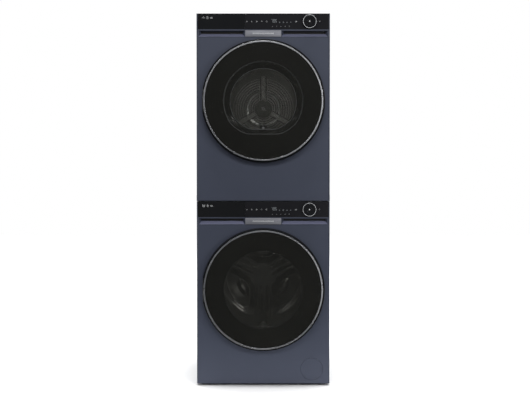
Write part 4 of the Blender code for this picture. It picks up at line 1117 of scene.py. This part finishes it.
def drain_filter():
    """The round hatch in the front, and the filter cap with its grip behind it."""
    x, z, node = middle("washer_filter_cap").x, middle("washer_filter_cap").z, "washer_filter_hatch"
    face = [(0, FRONT), (0.05, FRONT), (0.05, FRONT + 0.0025), (0, FRONT + 0.0025)]
    disc = turned(rounded(face, [0, 0.0006, 0.0002, 0], 3, False), x, z, ROUND_STEPS)
    notch = rod(0.007, (FRONT - 1, FRONT + 0.0012), x + 0.046, z, SMALL_STEPS)
    lug = block((x - 0.0445, x - 0.0385), (FRONT + 0.002, FRONT + 0.006), (z - 0.014, z + 0.014), 0.0006)
    cover = merged(carve(disc, notch), lug)
    add("washer_hatch_cover", cover, BLUE_STEEL, node, node)
    carry("washer_filter_cap", GREY_PLASTIC, 0.0012)
    carry("washer_drain_pump", WHITE_PLASTIC, 0.0012)


def filter_stud(machine):
    """The stud on the lint filter's handle, made bright by a glow that paints its highlight."""
    face = low("dryer_lint_filter").y + 0.0015
    base = face + 0.001
    outline = [(0, face - 0.0014), (0.0045, face - 0.0012), (0.006, face), (0.006, base), (0, base)]
    stud = turned(rounded(outline, [0, 0.002, 0.0008, 0, 0], 4, False), 0, machine.door_z - 0.118, SMALL_STEPS)
    add("dryer_filter_stud", stud, BEZEL_PAINTED_GLOW, "dryer_lint_filter")


# ---- backs


EIGHT_ROUND = (22.5, 337.5, 7)


def rear_cover(machine):
    """The washer's domed rear cover with its pressed rings and screws."""
    z, seat, top = machine.door_z, low("washer_rear_cover").y, high("washer_rear_cover").y
    outline = [
        (0, top - 0.0012), (0.06, top - 0.0012), (0.064, top - 0.0042), (0.09, top - 0.0042),
        (0.094, top - 0.0012), (0.176, top - 0.0012), (0.19, seat), (0.205, seat), (0.205, seat + 0.0014),
        (0.192, seat + 0.0016), (0.178, top), (0.095, top), (0.0905, top - 0.003), (0.0635, top - 0.003),
        (0.059, top), (0, top),
    ]
    cover = turned(rounded(outline, 0.003, 5, False), 0, z)
    add("washer_motor_cover", cover, ZINC, stands_for="washer_rear_cover")
    add("washer_cover_screws", screw_heads(arc((0, z), 0.1985, *EIGHT_ROUND), seat + 0.0014), ZINC)


def stub(x, z, outline):
    """A fitting on the back wall, from (radius, distance from the wall) points."""
    return turned([(radius, BACK + out) for radius, out in outline], x, z, 48)


def air_hoods(machine):
    """Pressed air hoods in rows on the back wall, each with a dark strip under it as the painted shade of its
    gap.
    """
    top = machine.down(0.165 if machine is WASHER else 0.12)
    tip = BACK + 0.0045
    hoods, gaps = [], []
    for x in ((-0.262, -0.222), (0.222, 0.262)):
        for row in range(9):
            z = top - 0.013 * row
            hood = [(BACK - HAIR, z), (tip, z - 0.0055), (tip, z - 0.0065), (BACK - HAIR, z - 0.0065)]
            hoods.append(prism(rounded(hood, [0.002, 0.002, HAIR, 0], 4), 0, *x))
            width = (x[0] + 0.002, x[1] - 0.002)
            gaps.append(block(width, (BACK - HAIR, BACK + HAIR), (z - 0.0105, z - 0.0068)))
    add(f"{machine.name}_air_hoods", merged(*hoods), BLUE_STEEL)
    add(f"{machine.name}_air_gaps", merged(*gaps), HOLE_DARK)


def back_details(machine):
    """What shows on a machine's back: hoods, screws, and the gland of its lead."""
    air_hoods(machine)
    edges = [(side * 0.285, machine.bottom + 0.03 + step * 0.255) for side in (-1, 1) for step in range(4)]
    edges += [(x, machine.down(0.033)) for x in (-0.24, -0.08, 0.08, 0.24)]
    add(f"{machine.name}_back_screws", screw_heads(edges, BACK), ZINC)
    gland = [(0, 0), (0.0135, 0), (0.0135, 0.003), (0.0095, 0.0045), (0.009, 0.01), (0.006, 0.0125),
             (0, 0.0125)]
    add(f"{machine.name}_lead_gland", stub(0.215, machine.down(0.075), gland), BLACK_PLASTIC)


def washer_fittings(machine):
    """The water inlet, the drain outlet and the four plugs over the transit bolts' holes."""
    thread = [(0, 0), (0.015, 0), (0.015, 0.002), (0.0125, 0.0025)]
    for i in range(5):
        thread += [(0.0132, 0.0032 + 0.002 * i), (0.0125, 0.0042 + 0.002 * i)]
    thread += [(0.0125, 0.014), (0.0085, 0.014), (0.0085, 0.006), (0, 0.006)]
    add("washer_water_inlet", stub(-0.215, machine.down(0.075), thread), WHITE_PLASTIC)
    spout = [(0, 0), (0.0185, 0), (0.0185, 0.003), (0.013, 0.004), (0.0125, 0.012), (0.0135, 0.0135),
             (0.0105, 0.0145), (0.01, 0.005), (0, 0.005)]
    add("washer_drain_outlet", stub(-0.13, machine.down(0.09), spout), GREY_PLASTIC)
    plug = rounded([(0, 0.0045), (0.0105, 0.0045), (0.015, 0.0025), (0.0175, 0.0006), (0.0175, 0), (0, 0)],
                   [0, 0.002, 0.003, 0.0003, 0, 0], 4, False)
    levels = (machine.door_z - 0.165, machine.door_z + 0.12)
    plugs = [stub(x, z, plug) for x in (-0.232, 0.232) for z in levels]
    add("washer_transit_plugs", merged(*plugs), GREY_PLASTIC)


def dryer_rear_duct(machine):
    """The pressed air duct on the dryer's back, with its ring of vents and screws."""
    z = machine.door_z - 0.01
    outline = [
        (0, 0.0118), (0.048, 0.0118), (0.054, 0.008), (0.2, 0.01), (0.214, 0.002), (0.226, 0.0014),
        (0.226, 0), (0, 0),
    ]
    cover = stub(0, z, rounded(outline, [0, 0.003, 0.003, 0.006, 0.003, 0.0005, 0, 0], 5, False))
    add("dryer_rear_duct", cover, ZINC)
    # The vents are flat dark slits, painted shade where the duct is open.
    vents = []
    for i in range(40):
        vent = block((-0.003, 0.003), (-0.001, 0.0004), (0.095, 0.165))
        turn = Matrix.Rotation(tau * i / 40, 4, "Y")
        vent.transform(Matrix.Translation((0, BACK + 0.00925, z)) @ turn)
        vents.append(vent)
    add("dryer_duct_vents", merged(*vents), HOLE_DARK)
    add("dryer_duct_screws", screw_heads(arc((0, z), 0.22, *EIGHT_ROUND), BACK + 0.0013), ZINC)


# ---- assembly


CARRIED = (
    ("stacking_frame", ZINC, 0.0004), ("washer_tub", WHITE_PLASTIC, 0.001), ("washer_rotor", ZINC, 0.0006),
    ("washer_stator", ALUMINIUM, 0.0006), ("washer_counterweight", CAST_METAL, 0.002),
    ("washer_drawer_tray", GREY_PLASTIC, 0.0006), ("washer_dispenser_box", WHITE_PLASTIC, 0.0008),
    ("dryer_bulkhead", BLACK_PLASTIC, 0.0008), ("dryer_lint_filter", BLACK_PLASTIC, 0.0008),
    ("dryer_belt", RUBBER, 0.0003), ("dryer_motor", CAST_METAL, 0.001), ("dryer_fan_shaft", ZINC, 0.0004),
    ("dryer_compressor", BLACK_PLASTIC, 0.001), ("dryer_heat_exchanger", ALUMINIUM, 0.0004),
    ("dryer_water_tank", WHITE_PLASTIC, 0.0008),
)
SHARED_STEPS = (
    cabinet_shell, side_pressings, top_board, front_sheet, finger_recesses, fascia, pull_face, control_dial,
    start_button, legends, door, back_details,
)


def build():
    for machine in (WASHER, DRYER):
        carry(f"{machine.name}_base", BLACK_PLASTIC, 0.0008)
        carry(f"{machine.name}_trim_plate", BRUSHED, 0.0002)
        for step in SHARED_STEPS:
            step(machine)
    for step in (washer_bowl, washer_drum, door_seal, rear_cover, washer_fittings):
        step(WASHER)
    for step in (dryer_window, dryer_drum, dryer_rear_duct, filter_stud):
        step(DRYER)
    levelling_feet()
    drain_filter()
    for node, look, edge in CARRIED:
        carry(node, look, edge)


# ---- floor, light and camera


FLOOR_FRONT = FRONT - 0.36
FLOOR_SIZE = 8.0


def floor():
    """A plain pale floor, as a fine grid."""
    bm = bmesh.new()
    bmesh.ops.create_grid(bm, x_segments=24, y_segments=24, size=FLOOR_SIZE / 2)
    bm.transform(Matrix.Translation((0, FLOOR_FRONT + FLOOR_SIZE / 2, 0)))
    obj = plain_object(bm)
    obj.name = "floor"
    obj.data.materials.append(PALE_FLOOR)


def lamp(name, kind, place, target, energy):
    """A light at a place, turned towards a target."""
    light = bpy.data.lights.new(name, kind)
    light.energy = energy
    obj = bpy.data.objects.new(name, light)
    obj.location = place
    obj.rotation_euler = (Vector(target) - Vector(place)).to_track_quat("-Z", "Y").to_euler()
    bpy.context.scene.collection.objects.link(obj)
    return light


CENTRE = (0, 0, 0.9)


def soft_box(name, place, size, energy, target=CENTRE):
    light = lamp(name, "AREA", place, target, energy)
    light.shape = "RECTANGLE"
    light.size, light.size_y = size
    bpy.data.objects[name].visible_camera = False


def room():
    """A white room as the camera sees it, dim as surfaces see it."""
    world = bpy.data.worlds.new("studio")
    world.use_nodes = True
    tree = world.node_tree
    dim = wire(tree, tree.nodes["Background"], Color=(0.95, 0.97, 1.0, 1), Strength=0.14)
    white = new_node(tree, "Background", Color=(1, 1, 1, 1))
    mix = new_node(tree, "MixShader", Fac=new_node(tree, "LightPath").outputs["Is Camera Ray"])
    tree.links.new(dim.outputs["Background"], mix.inputs[1])
    tree.links.new(white.outputs["Background"], mix.inputs[2])
    wire(tree, tree.nodes["World Output"], Surface=mix.outputs["Shader"])
    bpy.context.scene.world = world


def studio():
    """Soft boxes round the object, and small ones that light the drums through the doors."""
    lamp("overhead", "SUN", (0, 0, 5), (0, 0.05, 0), 3.05).angle = radians(26)
    soft_box("key_top", (0, -4.2, 3.8), (2.0, 0.6), 35)
    soft_box("key_right", (1.9, -4.2, 3.3), (1.0, 0.6), 27)
    soft_box("key_left", (-1.9, -4.2, 3.3), (1.0, 0.6), 20)
    soft_box("side_right", (3.3, -3.0, 1.7), (0.8, 1.4), 36, (0, 0, 1.3))
    soft_box("side_left", (-3.3, -3.0, 1.7), (0.8, 1.4), 18, (0, 0, 1.3))
    soft_box("ring_strip", (0.64, -2.0, 0.9), (0.12, 1.9), 2.1, (0.25, FRONT, 0.9))
    soft_box("rear_fill", (0.5, 4.0, 2.6), (3.0, 2.0), 75)
    soft_box("side_fill_right", (4.2, 2.2, 2.8), (2.0, 2.0), 50)
    soft_box("side_fill_left", (-4.2, 2.2, 2.8), (2.0, 2.0), 50)
    for machine, energy, (x, y, up) in (
        (WASHER, 0.016, (0.15, -0.13, 0.15)), (DRYER, 0.19, (0.12, -0.17, 0.12))
    ):
        name, z = machine.name, machine.door_z
        soft_box(f"{name}_drum_lamp", (0, -0.19, z + 0.02), (0.3, 0.26), energy, (0, 0.16, z))
        for side, sign, glint in (("right", 1, 0.13), ("left", -1, 0.045)):
            place, target = (sign * x, y, z + up), (sign * -0.08, 0.2, z - 0.1)
            soft_box(f"{name}_glint_{side}", place, (0.07, 0.07), glint, target)
    level = WASHER.door_z - 0.12
    soft_box("washer_boss_glint", (-0.122, -0.13, level), (0.06, 0.06), 0.01, (-0.11, 0.19, level + 0.05))


def camera():
    """A long view from the front, at the height of the upper machine's foot."""
    lens = bpy.data.cameras.new("camera")
    lens.lens = 54.1
    lens.sensor_width = 36
    lens.shift_y = -0.0346
    obj = bpy.data.objects.new("camera", lens)
    obj.location = (0.008, FRONT - 3.59, 1.0)
    obj.rotation_euler = (radians(90 - 1.2), 0, 0)
    bpy.context.scene.collection.objects.link(obj)
    bpy.context.scene.camera = obj


build()
floor()
room()
studio()
camera()
bpy.context.scene.view_settings.view_transform = "Standard"
bpy.context.view_layer.update()
